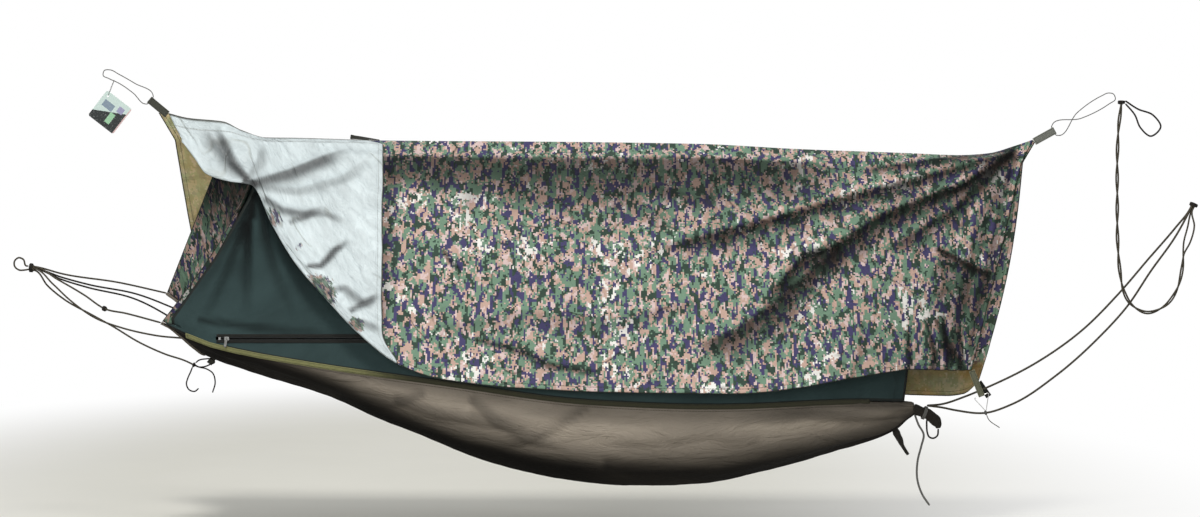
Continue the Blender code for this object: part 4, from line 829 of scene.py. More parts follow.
WIDTH_SHARE = smooth_through([
    (0.43, 0.75), (0.82, 0.94), (1.52, 1.0), (2.0, 0.84), (2.25, 0.62), (2.42, 0.33), (2.50, 0.045),
])


def bed_points(along, across):
    """Middle surface of the bed: along 0..1 from the head hem, across -1 (near) to 1 (far)."""
    hang = np.maximum(np.cos(across * np.pi / 2), 0)
    near_x, far_x = HEAD_CORNER_X
    share = (across + 1) / 2
    head_x = near_x + (far_x - near_x) * share + HEM_BULGE * hang**1.2 + HEM_ROLL
    x = head_x + (BED_FOOT_X - head_x) * along
    edge = EDGE_Z(x) + FAR_EDGE_LIFT(x) * share
    fullness = 1.8 - 1.0 * np.minimum(1.0, along / 0.25)
    y = BED_HALF_WIDTH * WIDTH_SHARE(x) * np.sin(across * np.pi / 2)
    return np.stack([x, y, edge - (edge - KEEL_Z(x)) * hang**fullness], axis=-1)


def normals_of(points):
    """Unit normals of a grid's surface, from its own neighbours."""
    down = np.gradient(points, axis=0)
    along = np.gradient(points, axis=1)
    found = np.cross(along, down)
    return found / np.maximum(np.linalg.norm(found, axis=2), 1e-12)[..., None]


# Canopy
HINGE_HEAD_Z, HINGE_FOOT_Z = 0.3410, 0.2785
HINGE_HEAD_X, HINGE_FOOT_X = 0.457, 2.802
HINGE_Y = 0.0175
RIDGE_HEAD_X, RIDGE_FOOT_X = 0.4160, 2.8370
FLAP_SPREAD = 0.315
FLAP_BILLOW = 0.012
BAND_ROUNDING = 0.0030
BAND_LIFT = 0.0005
SHORTEST_DROP = 0.006
SHORTEST_STEP = 0.002
NEAR_CORNER_SHARE = 0.13
FAR_CORNER_SHARE = 0.37
FAR_HEAD_SHARE = 1.05
FAR_FOOT_BULGE = 0.022
FAR_HEAD_BULGE = 0.012
RIDGE_Z = smooth_through([
    (0.414, 0.417), (0.47, 0.403), (0.568, 0.393), (0.62, 0.368), (0.69, 0.347), (0.76, 0.346),
    (1.01, 0.3395), (1.54, 0.3355), (1.90, 0.330), (2.18, 0.3155), (2.49, 0.304), (2.63, 0.2985),
    (2.71, 0.3035), (2.786, 0.3248), (2.839, 0.343),
])
NEAR_HEM = smooth_through([
    (0.457, 0.075, 0.3390), (0.500, 0.155, 0.285), (0.535, 0.224, 0.243), (0.600, 0.276, 0.222),
    (0.6615, 0.310, 0.213), (0.7327, 0.517, 0.0972), (0.8012, 0.69, -0.0024),
    (0.8835, 0.83, -0.091), (0.9796, 0.93, -0.1886), (1.0911, 1.0, -0.2713),
    (1.1923, 1.0, -0.3086), (1.4108, 1.0, -0.3353), (1.7306, 1.0, -0.347), (2.0, 1.0, -0.349),
    (2.1569, 0.96, -0.3353), (2.3008, 0.85, -0.3113), (2.4714, 0.57, -0.292),
    (2.600, 0.27, -0.300), (2.657, NEAR_CORNER_SHARE, -0.3010),
])
FAR_HEM = smooth_through([
    (0.50, FAR_HEAD_SHARE, -0.26), (0.90, 1.05, -0.33), (1.50, 1.03, -0.37), (2.10, 0.96, -0.385),
    (2.45, 0.78, -0.386), (2.62, 0.49, -0.385), (2.665, 0.42, -0.378),
    (2.705, FAR_CORNER_SHARE, -0.342),
])
NEAR_RANGE = ((0.457, 2.657), (HINGE_HEAD_X, HINGE_FOOT_X))
FAR_RANGE = ((0.50, 2.705), (0.430, HINGE_FOOT_X + 0.010))


def hinge_z(x):
    """Height of the line where the canopy's two sides leave the ridge band."""
    slope = (HINGE_FOOT_Z - HINGE_HEAD_Z) / (HINGE_FOOT_X - HINGE_HEAD_X)
    return HINGE_HEAD_Z + slope * (x - HINGE_HEAD_X)


def flap_places(hem, ranges, side, bulge, share, down):
    """Points of a flap at shares along it and down it, and where each column leaves the hinge line."""
    (hem_first, hem_last), (top_first, top_last) = ranges
    hem_x = hem_first + (hem_last - hem_first) * share
    found = hem(hem_x)
    late = np.maximum(0.0, (share - 0.6) / 0.4)
    early = np.maximum(0.0, (0.25 - share) / 0.25)
    top_x = hem_x + (top_last - hem_last) * late**1.5 + (top_first - hem_first) * early
    top = np.stack([top_x, np.full_like(top_x, side * HINGE_Y), hinge_z(top_x)], axis=-1)
    low_z = np.minimum(found[..., 1], top[..., 2] - SHORTEST_DROP)
    low_y = side * np.maximum(found[..., 0] * FLAP_SPREAD, HINGE_Y + SHORTEST_STEP)
    bottom = np.stack([hem_x, low_y, low_z], axis=-1)
    length = np.linalg.norm(top - bottom, axis=-1)
    belly = np.sin(np.pi * down) * np.minimum(1.0, length / 0.5)
    points = top * (1 - down[..., None]) + bottom * down[..., None]
    points[..., 1] += side * FLAP_BILLOW * belly
    points[..., 0] += bulge(share) * belly
    return points, top_x


def band_places(top_x, side, down):
    """Points of the ridge band from its apex (down 0) to the hinge line (down 1)."""
    ridge_length, hinge_length = RIDGE_FOOT_X - RIDGE_HEAD_X, HINGE_FOOT_X - HINGE_HEAD_X
    apex_x = RIDGE_HEAD_X + (top_x - HINGE_HEAD_X) * ridge_length / hinge_length
    apex = np.stack([apex_x, np.zeros_like(apex_x), RIDGE_Z(apex_x)], axis=-1)
    hinge = np.stack([top_x, np.full_like(top_x, side * HINGE_Y), hinge_z(top_x)], axis=-1)
    points = apex * (1 - down[..., None]) + hinge * down[..., None]
    points[..., 1] += side * BAND_ROUNDING * np.sqrt(np.maximum(0.0, down)) * (1 - down)
    return points


def canopy_side(hem, ranges, side, bulge, columns, rows, band_rows):
    """A whole side of the canopy as one grid: ridge line first, hem last."""
    down, share = grid_shares(rows, columns)
    flap, top_x = flap_places(hem, ranges, side, bulge, share, down)
    band_down = grid_shares(band_rows, columns)[0][:-1]
    band = band_places(top_x[:1].repeat(band_rows, axis=0), side, band_down)
    return np.concatenate([band, flap], axis=0)


def from_photo(pixels, depth=0.15):
    """A line's places in the photograph as (x, z), at that depth in front of the middle plane."""
    scale = METRES_PER_PIXEL * (CAMERA_DISTANCE - depth) / CAMERA_DISTANCE
    return [(CAMERA_PLACE[0] + (px - IMAGE_WIDTH / 2) * scale,
             CAMERA_PLACE[2] + (IMAGE_HEIGHT / 2 - py) * scale) for px, py in pixels]


def line_facts(points, line):
    """Distance to a line of (x, z), signed above or below it, and the share of its length there."""
    x, z = points[..., 0], points[..., 2]
    knots = np.array(line, float)
    lengths = np.linalg.norm(np.diff(knots, axis=0), axis=1)
    best = np.full(x.shape, 9.0)
    side = np.ones_like(x)
    place = np.zeros_like(x)
    done = 0.0
    for a, b, length in zip(knots, knots[1:], lengths):
        ux, uz = (b - a) / length
        t = np.clip((x - a[0]) * ux + (z - a[1]) * uz, 0.0, length)
        distance = np.hypot(x - a[0] - ux * t, z - a[1] - uz * t)
        over = (ux * (z - a[1]) - uz * (x - a[0])) * (1 if ux >= 0 else -1)
        closer = distance < best
        best = np.where(closer, distance, best)
        side = np.where(closer, np.sign(over), side)
        place = np.where(closer, (done + t) / lengths.sum(), place)
        done += length
    return best * side, place


def pleat(points, line, above, below, height, grow=0.35, fade=0.3):
    """Height of one long pleat along a line: it slopes away over two widths, above it and below it."""
    signed, place = line_facts(points, line)
    width = grow + (1 - grow) * place
    reach = np.where(signed >= 0, signed / (above * width), -signed / (below * width))
    profile = np.exp(-np.maximum(0.0, reach) ** 2 * 1.4)
    return height * (0.45 + 0.55 * place) * held(place, 0.06, fade) * profile


def pleated_relief(points, pleats, grow=0.35, fade=0.3):
    """Height of all the pleats of a table."""
    return sum(pleat(points, line, above, below, height, grow, fade)
               for line, above, below, height, *hollow in pleats)


# Pleats: line, widths above and below it, height, how dark the painted shade in the hollow under it is, and
# that shade's width
PLEATS_NEAR = [
    (from_photo([(1022, 150), (976, 163), (844, 198), (760, 222), (643, 252)]),
     0.070, 0.018, 0.026, 0.88, 0.048),
    (from_photo([(1026, 146), (971, 182), (882, 215), (834, 246), (803, 254), (770, 292), (755, 316)]),
     0.080, 0.020, 0.030, 0.92, 0.062),
    (from_photo([(842, 246), (800, 280), (765, 308), (735, 328), (690, 348)]),
     0.020, 0.030, 0.006, 0.86, 0.066),
    (from_photo([(385, 345), (386, 150)], 0.12), 0.004, 0.020, 0.0, 0.50, 0.036),
    (from_photo([(1024, 150), (964, 205), (916, 234), (882, 253)]), 0.036, 0.014, 0.014, 0.80, 0.036),
    (from_photo([(1026, 144), (990, 152), (930, 160), (860, 170)]), 0.020, 0.010, 0.010, 0.80, 0.022),
    (from_photo([(1028, 146), (1002, 163), (962, 186), (930, 196)]), 0.018, 0.010, 0.008, 0.80, 0.022),
    (from_photo([(1028, 152), (1012, 182), (990, 222), (985, 260)]), 0.018, 0.012, 0.008, 0.60, 0.020),
    (from_photo([(1020, 158), (985, 215), (962, 300), (950, 375)]), 0.028, 0.016, 0.009, 0.50, 0.026),
    (from_photo([(1020, 165), (1000, 235), (978, 320), (972, 372)]), 0.022, 0.014, 0.008, 0.60, 0.030),
    (from_photo([(938, 248), (962, 258), (980, 268), (1004, 276)]), 0.010, 0.009, 0.008, 0.95, 0.020),
    (from_photo([(944, 252), (962, 262), (1004, 282)]), 0.010, 0.010, 0.0, 0.60, 0.190),
    (from_photo([(936, 318), (952, 344), (976, 378)]), 0.010, 0.010, 0.006, 0.85, 0.022),
    (from_photo([(320, 155), (386, 158), (560, 160), (720, 160), (860, 168)], 0.03),
     0.030, 0.085, 0.022, 0.80, 0.150),
    (from_photo([(596, 198), (645, 186), (697, 198)], 0.07), 0.016, 0.022, 0.007, 0.35, 0.020),
    (from_photo([(700, 300), (620, 318), (520, 312), (430, 330)]), 0.050, 0.034, 0.008, 0.30, 0.050),
    (from_photo([(442, 250), (452, 262), (462, 272)]), 0.012, 0.008, 0.005, 0.80, 0.010),
    (from_photo([(476, 338), (520, 348), (552, 362), (604, 372)]), 0.016, 0.008, 0.006, 0.80, 0.014),
    (from_photo([(925, 318), (935, 350), (930, 386)]), 0.010, 0.008, 0.009, 0.90, 0.016),
    (from_photo([(944, 316), (950, 350), (948, 388)]), 0.009, 0.008, 0.009, 0.90, 0.014),
    (from_photo([(962, 330), (966, 352), (960, 384)]), 0.009, 0.008, 0.007, 0.80, 0.012),
    (from_photo([(906, 330), (908, 356), (900, 380)]), 0.012, 0.009, 0.007, 0.80, 0.014),
    (from_photo([(860, 320), (855, 350), (842, 382)]), 0.016, 0.012, 0.005, 0.40, 0.016),
    (from_photo([(560, 240), (545, 300), (548, 352)]), 0.040, 0.040, 0.005, 0.0, 0.040),
    (from_photo([(460, 230), (470, 300), (462, 356)]), 0.045, 0.045, -0.005, 0.0, 0.040),
]
OUT_NEAR = np.array([0.0, -0.907, 0.420])
OUT_FAR = np.array([0.0, 0.907, 0.420])


def near_relief(points):
    """How far the near side stands out of its CAD surface: pleats, soft billows and small wrinkles."""
    found = pleated_relief(points, PLEATS_NEAR)
    found += crumple(points, 3.4, 0.0050, 11.0)
    found += crumple(points, 9.0, 0.0030, 5.0, (1.0, 1.0, 0.6))
    found += crumple(points, 26.0, 0.0014, 2.0)
    below_ridge = RIDGE_Z(points[..., 0]) - points[..., 2]
    found = np.clip(found, -0.0020 - 0.0080 * ramp(below_ridge, 0.30), 0.0300)
    return found * ramp(below_ridge, 0.022)


def painted_pleat_shade(points, pleats, crisp=0.0075, fade=0.12):
    """Painted shade of the cloth: darkest just under each pleat's line, and back to 1 lower down."""
    tone = np.ones(points.shape[:2])
    ragged = 1 + crumple(points, 14.0, 0.5, 23.0)
    for line, *sizes, dark, wide in pleats:
        signed, place = line_facts(points, line)
        spindle = 0.40 + 0.60 * np.sin(np.pi * np.clip(place, 0, 1) ** 1.25)
        reach = np.where(signed >= 0, signed / crisp, -signed / (wide * ragged * spindle))
        tone *= 1 - dark * held(place, 0.02, fade) * np.exp(-np.clip(reach, 0, 9) ** 3 * 0.9)
    return tone


FLAP_ROWS, FLAP_COLUMNS, BAND_ROWS = 84, 300, 8
FAR_ROWS, FAR_COLUMNS = 60, 230
FOLD_COLUMNS = 87
FOLD_HEM_X = 1.021
FOLD_STAND = 0.0042
FOLD_EDGE_LIFT = 0.0070
RIDGE_BINDING = 0.35
ROLLED_PATCHES = [((279, 212), 0.050), ((328, 286), 0.062), ((300, 246), 0.018), ((362, 322), 0.026)]
SILVER_CREASES = [
    (from_photo([(252, 184), (290, 172), (322, 158), (350, 149)], 0.08), 0.022, 0.030, 0.014, 0.86, 0.036),
    (from_photo([(254, 186), (300, 192), (345, 178), (372, 155)], 0.08), 0.016, 0.016, 0.007, 0.40, 0.020),
    (from_photo([(243, 181), (252, 182), (264, 186)], 0.08), 0.012, 0.010, 0.0, 0.90, 0.020),
    (from_photo([(251, 181), (236, 163), (214, 126)], 0.05), 0.014, 0.012, 0.009, 0.86, 0.020),
    (from_photo([(250, 180), (226, 158), (200, 126)], 0.05), 0.010, 0.012, 0.006, 0.55, 0.030),
    (from_photo([(251, 180), (262, 160), (262, 142)], 0.04), 0.014, 0.010, 0.006, 0.40, 0.016),
    (from_photo([(264, 198), (284, 210), (306, 214), (330, 208)], 0.12), 0.016, 0.010, 0.009, 0.75, 0.018),
    (from_photo([(290, 224), (312, 214), (326, 214), (350, 224)], 0.14), 0.012, 0.008, 0.006, 0.55, 0.014),
    (from_photo([(308, 267), (322, 266), (335, 250), (350, 240)], 0.2), 0.014, 0.008, 0.009, 0.92, 0.012),
    (from_photo([(350, 312), (362, 304), (380, 294)], 0.26), 0.012, 0.008, 0.008, 0.80, 0.012),
    (from_photo([(330, 290), (346, 288), (360, 300), (376, 306)], 0.24), 0.012, 0.010, 0.007, 0.65, 0.012),
    (from_photo([(346, 326), (364, 322), (384, 330)], 0.26), 0.012, 0.010, 0.005, 0.60, 0.012),
    (from_photo([(270, 204), (296, 250), (330, 290), (362, 322)], 0.18), 0.016, 0.010, 0.005, 0.0, 0.010),
    (from_photo([(350, 190), (356, 230), (366, 280)], 0.16), 0.030, 0.030, -0.005, 0.0, 0.010),
]


def no_bulge(share):
    """The near side's ends don't bulge."""
    return 0.0


def far_bulge(share):
    """How far the far side's two ends bulge beyond their corners."""
    return (FAR_FOOT_BULGE * np.maximum(0.0, (share - 0.8) / 0.2)
            - FAR_HEAD_BULGE * np.maximum(0.0, 1 - share / 0.2))


def near_surface(share, down):
    """The near side's own surface with its relief; down below 0 is on the ridge band."""
    flap, top_x = flap_places(NEAR_HEM, NEAR_RANGE, -1, no_bulge, share, np.maximum(down, 0.0))
    band = band_places(top_x, -1, np.clip(1 + down, 0.0, 1.0))
    points = np.where((down < 0)[..., None], band, flap)
    return points + near_relief(points)[..., None] * OUT_NEAR


def folded_corner():
    """The corner that is folded up over the near side: from the fold, up to the ridge."""
    rise = np.concatenate([np.linspace(0, 0.06, 9)[:-1], np.linspace(0.06, 1.0, 76),
                           1 + np.linspace(0.12, 0.97, BAND_ROWS)])
    rise = rise[:, None].repeat(FOLD_COLUMNS, axis=1)
    columns = np.arange(FOLD_COLUMNS) / FLAP_COLUMNS
    width = columns[-1]
    hem_first, hem_last = NEAR_RANGE[0]
    narrowed = (FOLD_HEM_X - hem_first) / (hem_last - hem_first)
    wave = 0.0004 * np.sin(rise[:, 0] * 17) + 0.0002 * np.sin(rise[:, 0] * 41 + 1)
    edge = narrowed + 0.0115 * (1 - rise[:, 0]) + wave
    edge = edge + (width - edge) * np.exp(-(rise[:, 0] / 0.045) ** 2)
    share = columns[None, :] * (edge / width)[:, None]
    points = near_surface(share, np.where(rise <= 1, 1 - rise, -(rise - 1)))
    up_from_fold = metres_down(points)
    stand = FOLD_STAND * (1 - np.exp(-up_from_fold / 0.0045))
    soft = ramp(up_from_fold, 0.03) * np.clip((1.99 - rise) / 0.9, 0.12, 1.0)
    crease = pleated_relief(points, SILVER_CREASES, 0.5, 0.35)
    crease += crumple(points, 6.0, 0.0050, 31.0) + crumple(points, 19.0, 0.0016, 17.0)
    from_edge = (edge[:, None] - share) * (hem_last - hem_first)
    lifted = FOLD_EDGE_LIFT * np.exp(-from_edge / 0.02) * held(rise, 0.1, 0.2)
    stand = stand + np.maximum(-0.0024, crease) * soft + lifted
    points = points + stand[..., None] * OUT_NEAR
    facts = measured(points, False, False, False, True)
    facts.update(along=points[..., 0], across=-facts["across"],
                 tone=painted_pleat_shade(points, SILVER_CREASES, 0.0085, 0.25))
    from_ridge = (up_from_fold[-1:] - up_from_fold) * RIDGE_BINDING
    facts["hem_in"] = np.minimum(from_edge, from_ridge)
    facts["hem_along"] = np.where(from_edge < from_ridge, up_from_fold, points[..., 0])
    patches = np.zeros_like(stand)
    for place, reach in ROLLED_PATCHES:
        (x, z), = from_photo([place], 0.2)
        apart = (points[..., 0] - x) ** 2 + (points[..., 2] - z) ** 2
        patches = np.maximum(patches, np.exp(-(apart / reach**2)))
    facts["rolled"] = patches * np.exp(-(up_from_fold / 0.125) ** 2)
    return facts


def make_near_side():
    """Ridge and near side of the canopy in one cloth, with its head corner folded back on itself."""
    points = canopy_side(NEAR_HEM, NEAR_RANGE, -1, no_bulge, FLAP_COLUMNS, FLAP_ROWS, BAND_ROWS)
    points = points + near_relief(points)[..., None] * OUT_NEAR
    outer = measured(points, False, True, False, True)
    outer.update(along=points[..., 0], tone=painted_pleat_shade(points, PLEATS_NEAR))
    folded = outer["hem_in"][:, :FOLD_COLUMNS]
    outer["hem_in"][:, :FOLD_COLUMNS] = np.maximum(folded, 0.05)
    piece = cloth_mesh("canopy_near_side", [outer, folded_corner()], [canopy_silver(), CANOPY_PRINT],
                       CANOPY_CLOTH)
    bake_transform(piece)
    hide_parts("canopy_ridge", "canopy_near_flap")


PLEATS_FAR = [
    ([(2.82, 0.30), (2.60, 0.225), (2.25, 0.125), (1.82, 0.050)], 0.060, 0.018, 0.016, 0.70, 0.046),
    ([(2.82, 0.29), (2.64, 0.170), (2.44, 0.010), (2.34, -0.100)], 0.050, 0.018, 0.014, 0.70, 0.050),
    ([(2.80, 0.27), (2.74, 0.100), (2.70, -0.080), (2.66, -0.220)], 0.030, 0.014, 0.008, 0.50, 0.026),
    ([(0.48, 0.31), (0.76, 0.215), (1.12, 0.130), (1.48, 0.085)], 0.060, 0.018, 0.014, 0.62, 0.044),
    ([(0.48, 0.30), (0.68, 0.150), (0.86, -0.030), (0.94, -0.120)], 0.050, 0.018, 0.012, 0.62, 0.044),
    ([(0.52, 0.27), (0.58, 0.080), (0.60, -0.100), (0.62, -0.240)], 0.030, 0.014, 0.008, 0.45, 0.024),
    ([(1.10, -0.190), (1.45, -0.150), (1.82, -0.175), (2.20, -0.130)], 0.050, 0.030, 0.008, 0.40, 0.050),
    ([(1.30, 0.140), (1.62, 0.165), (1.98, 0.150)], 0.030, 0.020, 0.007, 0.35, 0.026),
]


def make_far_side():
    """Far side of the canopy, its ridge band laid just over the near side's."""
    points = canopy_side(FAR_HEM, FAR_RANGE, 1, far_bulge, FAR_COLUMNS, FAR_ROWS, BAND_ROWS)
    below_ridge = RIDGE_Z(points[..., 0]) - points[..., 2]
    relief = crumple(points, 3.4, 0.0060, 41.0) + crumple(points, 9.0, 0.0030, 15.0)
    relief += crumple(points, 24.0, 0.0012, 12.0) + pleated_relief(points, PLEATS_FAR, 0.25, 0.35)
    relief *= ramp(below_ridge - 0.03, 0.20)
    points = points + relief[..., None] * OUT_FAR
    points[:BAND_ROWS, :, 2] += BAND_LIFT
    facts = measured(points, False, True, True, True)
    facts.update(along=points[..., 0], tone=painted_pleat_shade(points, PLEATS_FAR))
    piece = cloth_mesh("canopy_far_side", [facts], [CANOPY_PRINT, far_lining()], CANOPY_CLOTH)
    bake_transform(piece)
    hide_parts("canopy_far_flap")


CANOPY_PRINT = canopy_print()
make_near_side()
make_far_side()

# Bed
BED_CREASES = [
    (from_photo([(926, 414), (880, 408), (820, 400), (756, 396)]), 0.016, 0.012, 0.009, 0.45, 0.016),
    (from_photo([(926, 420), (870, 418), (800, 414), (730, 418)]), 0.020, 0.014, 0.008, 0.55, 0.020),
    (from_photo([(926, 424), (880, 434), (810, 446), (730, 452)]), 0.020, 0.016, 0.008, 0.35, 0.020),
    (from_photo([(924, 428), (870, 450), (790, 472), (700, 482)]), 0.022, 0.018, 0.006, 0.20, 0.030),
    (from_photo([(210, 350), (260, 360), (330, 384), (400, 412)]), 0.020, 0.014, 0.007, 0.40, 0.026),
    (from_photo([(206, 356), (250, 380), (320, 410), (400, 450)]), 0.022, 0.016, 0.006, 0.30, 0.026),
    (from_photo([(760, 440), (700, 432), (640, 436), (560, 428)]), 0.030, 0.016, 0.006, 0.20, 0.030),
    (from_photo([(470, 410), (520, 416), (600, 410), (660, 416)]), 0.026, 0.014, 0.005, 0.20, 0.030),
    (from_photo([(335, 398), (400, 424), (470, 448), (560, 464), (680, 478)]),
     0.030, 0.022, 0.009, 0.80, 0.075),
    (from_photo([(600, 462), (720, 474), (830, 458), (900, 436)]), 0.030, 0.022, 0.006, 0.60, 0.055),
    (from_photo([(395, 398), (440, 412), (500, 420), (545, 424)]), 0.020, 0.012, 0.008, 0.45, 0.018),
    (from_photo([(470, 396), (500, 420), (530, 436), (570, 446)]), 0.020, 0.012, 0.008, 0.40, 0.018),
    (from_photo([(590, 404), (560, 424), (520, 440), (480, 446)]), 0.018, 0.012, 0.006, 0.35, 0.014),
    (from_photo([(430, 392), (400, 402), (370, 404), (340, 398)]), 0.016, 0.012, 0.006, 0.40, 0.014),
]


def bed_relief(points, along, across):
    """Height of the bed's folds: bunched at the foot, fanned at the head, soft between."""
    bunched = ramp(along - 0.62, 0.36) ** 1.6 * np.clip((1 - along) / 0.03, 0.25, 1)
    pleats = np.sin(across * 21.0 + 1.6 * np.sin(across * 5)) * 0.0062 * bunched
    fans = np.sin(across * 17.0) * 0.0042 * ramp(0.14 - along, 0.14) * ramp(along, 0.006)
    soft = crumple(points, 4.2, 0.0052, 21.0, (0.7, 1.0, 1.6))
    soft += crumple(points, 13.0, 0.0026, 8.0, (0.5, 1.0, 1.0)) + crumple(points, 34.0, 0.0009, 3.0)
    creases = pleated_relief(points, BED_CREASES, 0.4, 0.35) * np.clip(-across * 1.4, 0, 1)
    edge = ramp(1 - np.abs(across), 0.05) * ramp(along, 0.012)
    return np.clip(pleats + fans + soft + creases, -0.0100, 0.0110) * edge


def bed_tone(points, along, across, out):
    """The bed's tone: painted shade under its creases on the near side, on its underside, at the head and
    along the near edge under the canopy; darker toward the gather; and a random mottle.
    """
    creases = 1 - (1 - painted_pleat_shade(points, BED_CREASES, 0.020, 0.30)) * (across < 0)
    # Painted shade on the underside, where the bed faces down
    facing_down = ramp(-out[..., 2] - 0.20, 0.60)
    # Painted shade at the head and along the near edge, under the canopy, with a random mottle; then darker
    # toward the gather
    painted_shade = 1 - 0.74 * ramp(1.15 - points[..., 0], 0.55)
    painted_shade = painted_shade * (1 - 0.62 * np.exp(-((1 + across) / 0.11) ** 2))
    painted_shade = painted_shade * np.clip(1 + crumple(points, 3.6, 0.26, 61.0, (0.5, 1.0, 1.8)), 0.5, 1.15)
    toward_gather = ramp(points[..., 0] - 2.20, 0.30) * ramp(along - 0.35, 0.30)
    painted_shade = painted_shade * (1 - 0.60 * toward_gather * ramp(across + 0.95, 0.35))
    return creases * (1 - 0.93 * facing_down) * painted_shade


def make_bed():
    """The bed as one hung sheet, from its head hem to the gather at the foot."""
    rows, columns = 72, 260
    across, along = np.meshgrid(np.linspace(-1, 1, rows + 1), np.linspace(0, 1, columns + 1), indexing="ij")
    points = bed_points(along, across)
    out = normals_of(points)
    out *= np.sign(-out[rows // 2, columns // 2, 2])
    points = points + bed_relief(points, along, across)[..., None] * out
    facts = measured(points, True, True, True, False)
    facts.update(along=points[..., 0], tone=bed_tone(points, along, across, out))
    piece = cloth_mesh("sling_cloth", [facts], [bed_cloth()], BED_CLOTH)
    stand_in(piece, "sling")


def hem_line():
    """Centre of the rolled head hem, one point a row of the part's own bed, near corner first."""
    across = np.linspace(-1, 1, BED_ROWS + 1)
    edge = [Vector(p) for p in bed_points(np.zeros(BED_ROWS + 1), across)]
    inner = [Vector(p) for p in bed_points(np.full(BED_ROWS + 1, 1 / BED_COLUMNS), across)]
    normals = []
    for r in range(BED_ROWS):
        along = (edge[r + 1] - edge[r]).normalized()
        out = (edge[r] - inner[r]).normalized() + (edge[r + 1] - inner[r + 1]).normalized()
        normals.append((out - along * out.dot(along)).normalized())
    line = []
    for r in range(BED_ROWS + 1):
        before, after = normals[max(r - 1, 0)], normals[min(r, BED_ROWS - 1)]
        mitre = (before + after).normalized()
        line.append(edge[r] + mitre * (HEM_ROLL / 2 + HEM_CLEARANCE) / mitre.dot(after))
    return line


def make_hem():
    """The head hem, rolled on itself, with the cloth's folds in its roll."""
    def rolled(along, angle):
        return 0.98 + 0.05 * math.sin(along * 95 + 3 * angle) + 0.03 * math.sin(along * 310 + angle)

    path = route(hem_line(), 0.004)
    piece = tube_mesh("sling_hem_roll", path, HEM_ROLL / 2, HEM_CLOTH, 16, rolled)
    stand_in(piece, "sling_hem_head")


HEM_CLOTH = woven_tape("hem_roll", (0.150, 0.130, 0.104), (0.098, 0.084, 0.066), 0.0012)
make_bed()
make_hem()

# Net
NET_TOP_HEAD_X = 0.705
NET_TOP_FOOT_X = 2.560
FAR_TOP_HEAD_X = 0.588
NET_FOOT_X = 2.468
NET_TOP_Y = 0.0117
NET_TOP_DROP = 0.002
NET_LIFT = 0.0022
NET_HEAD_BULGE = 0.028
NET_ROWS = 3
END_ROWS = 7
END_TOP_NEAR = 0.006
END_TOP_FAR = 0.014
SEAM_HEAD_X = 0.466
SEAM_FOOT_X = 2.482
ZIP_START_X = 0.602
ZIP_LENGTH = 1.400
ZIP_Y = -0.222
ZIP_Z = -0.206
ZIP_SLOT = 0.0090
ZIP_MARGIN = 0.014
ZIP_TAPE_WIDTH = 0.008
STRIP_CLEARANCE = 0.0007
ZIP_FIRST, ZIP_LAST = 2, 22
ZIP_RUN = (ZIP_START_X - ZIP_MARGIN, ZIP_START_X + ZIP_LENGTH + ZIP_MARGIN)
SEAM = smooth_through([
    (0.440, ZIP_Y + 0.0225, -0.1500), (0.520, ZIP_Y + 0.0080, -0.1870), (ZIP_RUN[0], ZIP_Y, ZIP_Z),
    (ZIP_RUN[1], ZIP_Y, ZIP_Z), (2.200, ZIP_Y + 0.048, -0.232), (2.490, ZIP_Y + 0.172, -0.300),
])
PART_NET_CLOTH = 0.0012
UP = Vector((0, 0, 1))


def net_top(x, side):
    """A place where the net is sewn to the ridge band."""
    return Vector((x, side * NET_TOP_Y, float(hinge_z(x)) - NET_TOP_DROP))


def net_feet(side):
    """The net's foot on the bed's edge, column by column of the part."""
    columns = np.arange(BED_COLUMNS + 1) / BED_COLUMNS
    line = [Vector(p) for p in bed_points(columns, np.full(BED_COLUMNS + 1, float(side)))]
    feet = [line[0].lerp(line[1], 0.10)]
    feet += [point for point in line[1:] if point.x < NET_FOOT_X - 0.01]
    share = (NET_FOOT_X - line[len(feet) - 1].x) / (line[len(feet)].x - line[len(feet) - 1].x)
    feet.append(line[len(feet) - 1].lerp(line[len(feet)], share))
    return [point + UP * NET_LIFT for point in feet]


def finer_rows(coarse, counts):
    """A grid with more rows on the same flat facets: that count of steps in each gap."""
    rows = []
    for r, steps in enumerate(counts):
        rows += [coarse[r] + (coarse[r + 1] - coarse[r]) * (k / steps) for k in range(steps)]
    return np.array(rows + [coarse[-1]])


def finer(grid, column_steps, row_steps):
    """The part's grid with more points on the same flat facets: row_steps is one count a row gap."""
    tall = finer_rows(np.array([[tuple(p) for p in row] for row in grid]), row_steps)
    gaps = tall.shape[1] - 1
    return finer_rows(tall.swapaxes(0, 1), [column_steps] * gaps).swapaxes(0, 1)


def sheet_shares(points):
    """Shares down a sheet's rows and along its columns, as a column and a row."""
    rows, columns = points.shape[:2]
    return np.linspace(0, 1, rows)[:, None], np.linspace(0, 1, columns)[None, :]


def net_wrinkles(points, seed, fine_seed):
    """Long soft wrinkles of a net wall, with finer ones between."""
    return (crumple(points, 5.0, 0.0060, seed, (1.6, 1.0, 0.5))
            + crumple(points, 17.0, 0.0030, fine_seed, (1.4, 1, 0.5)))


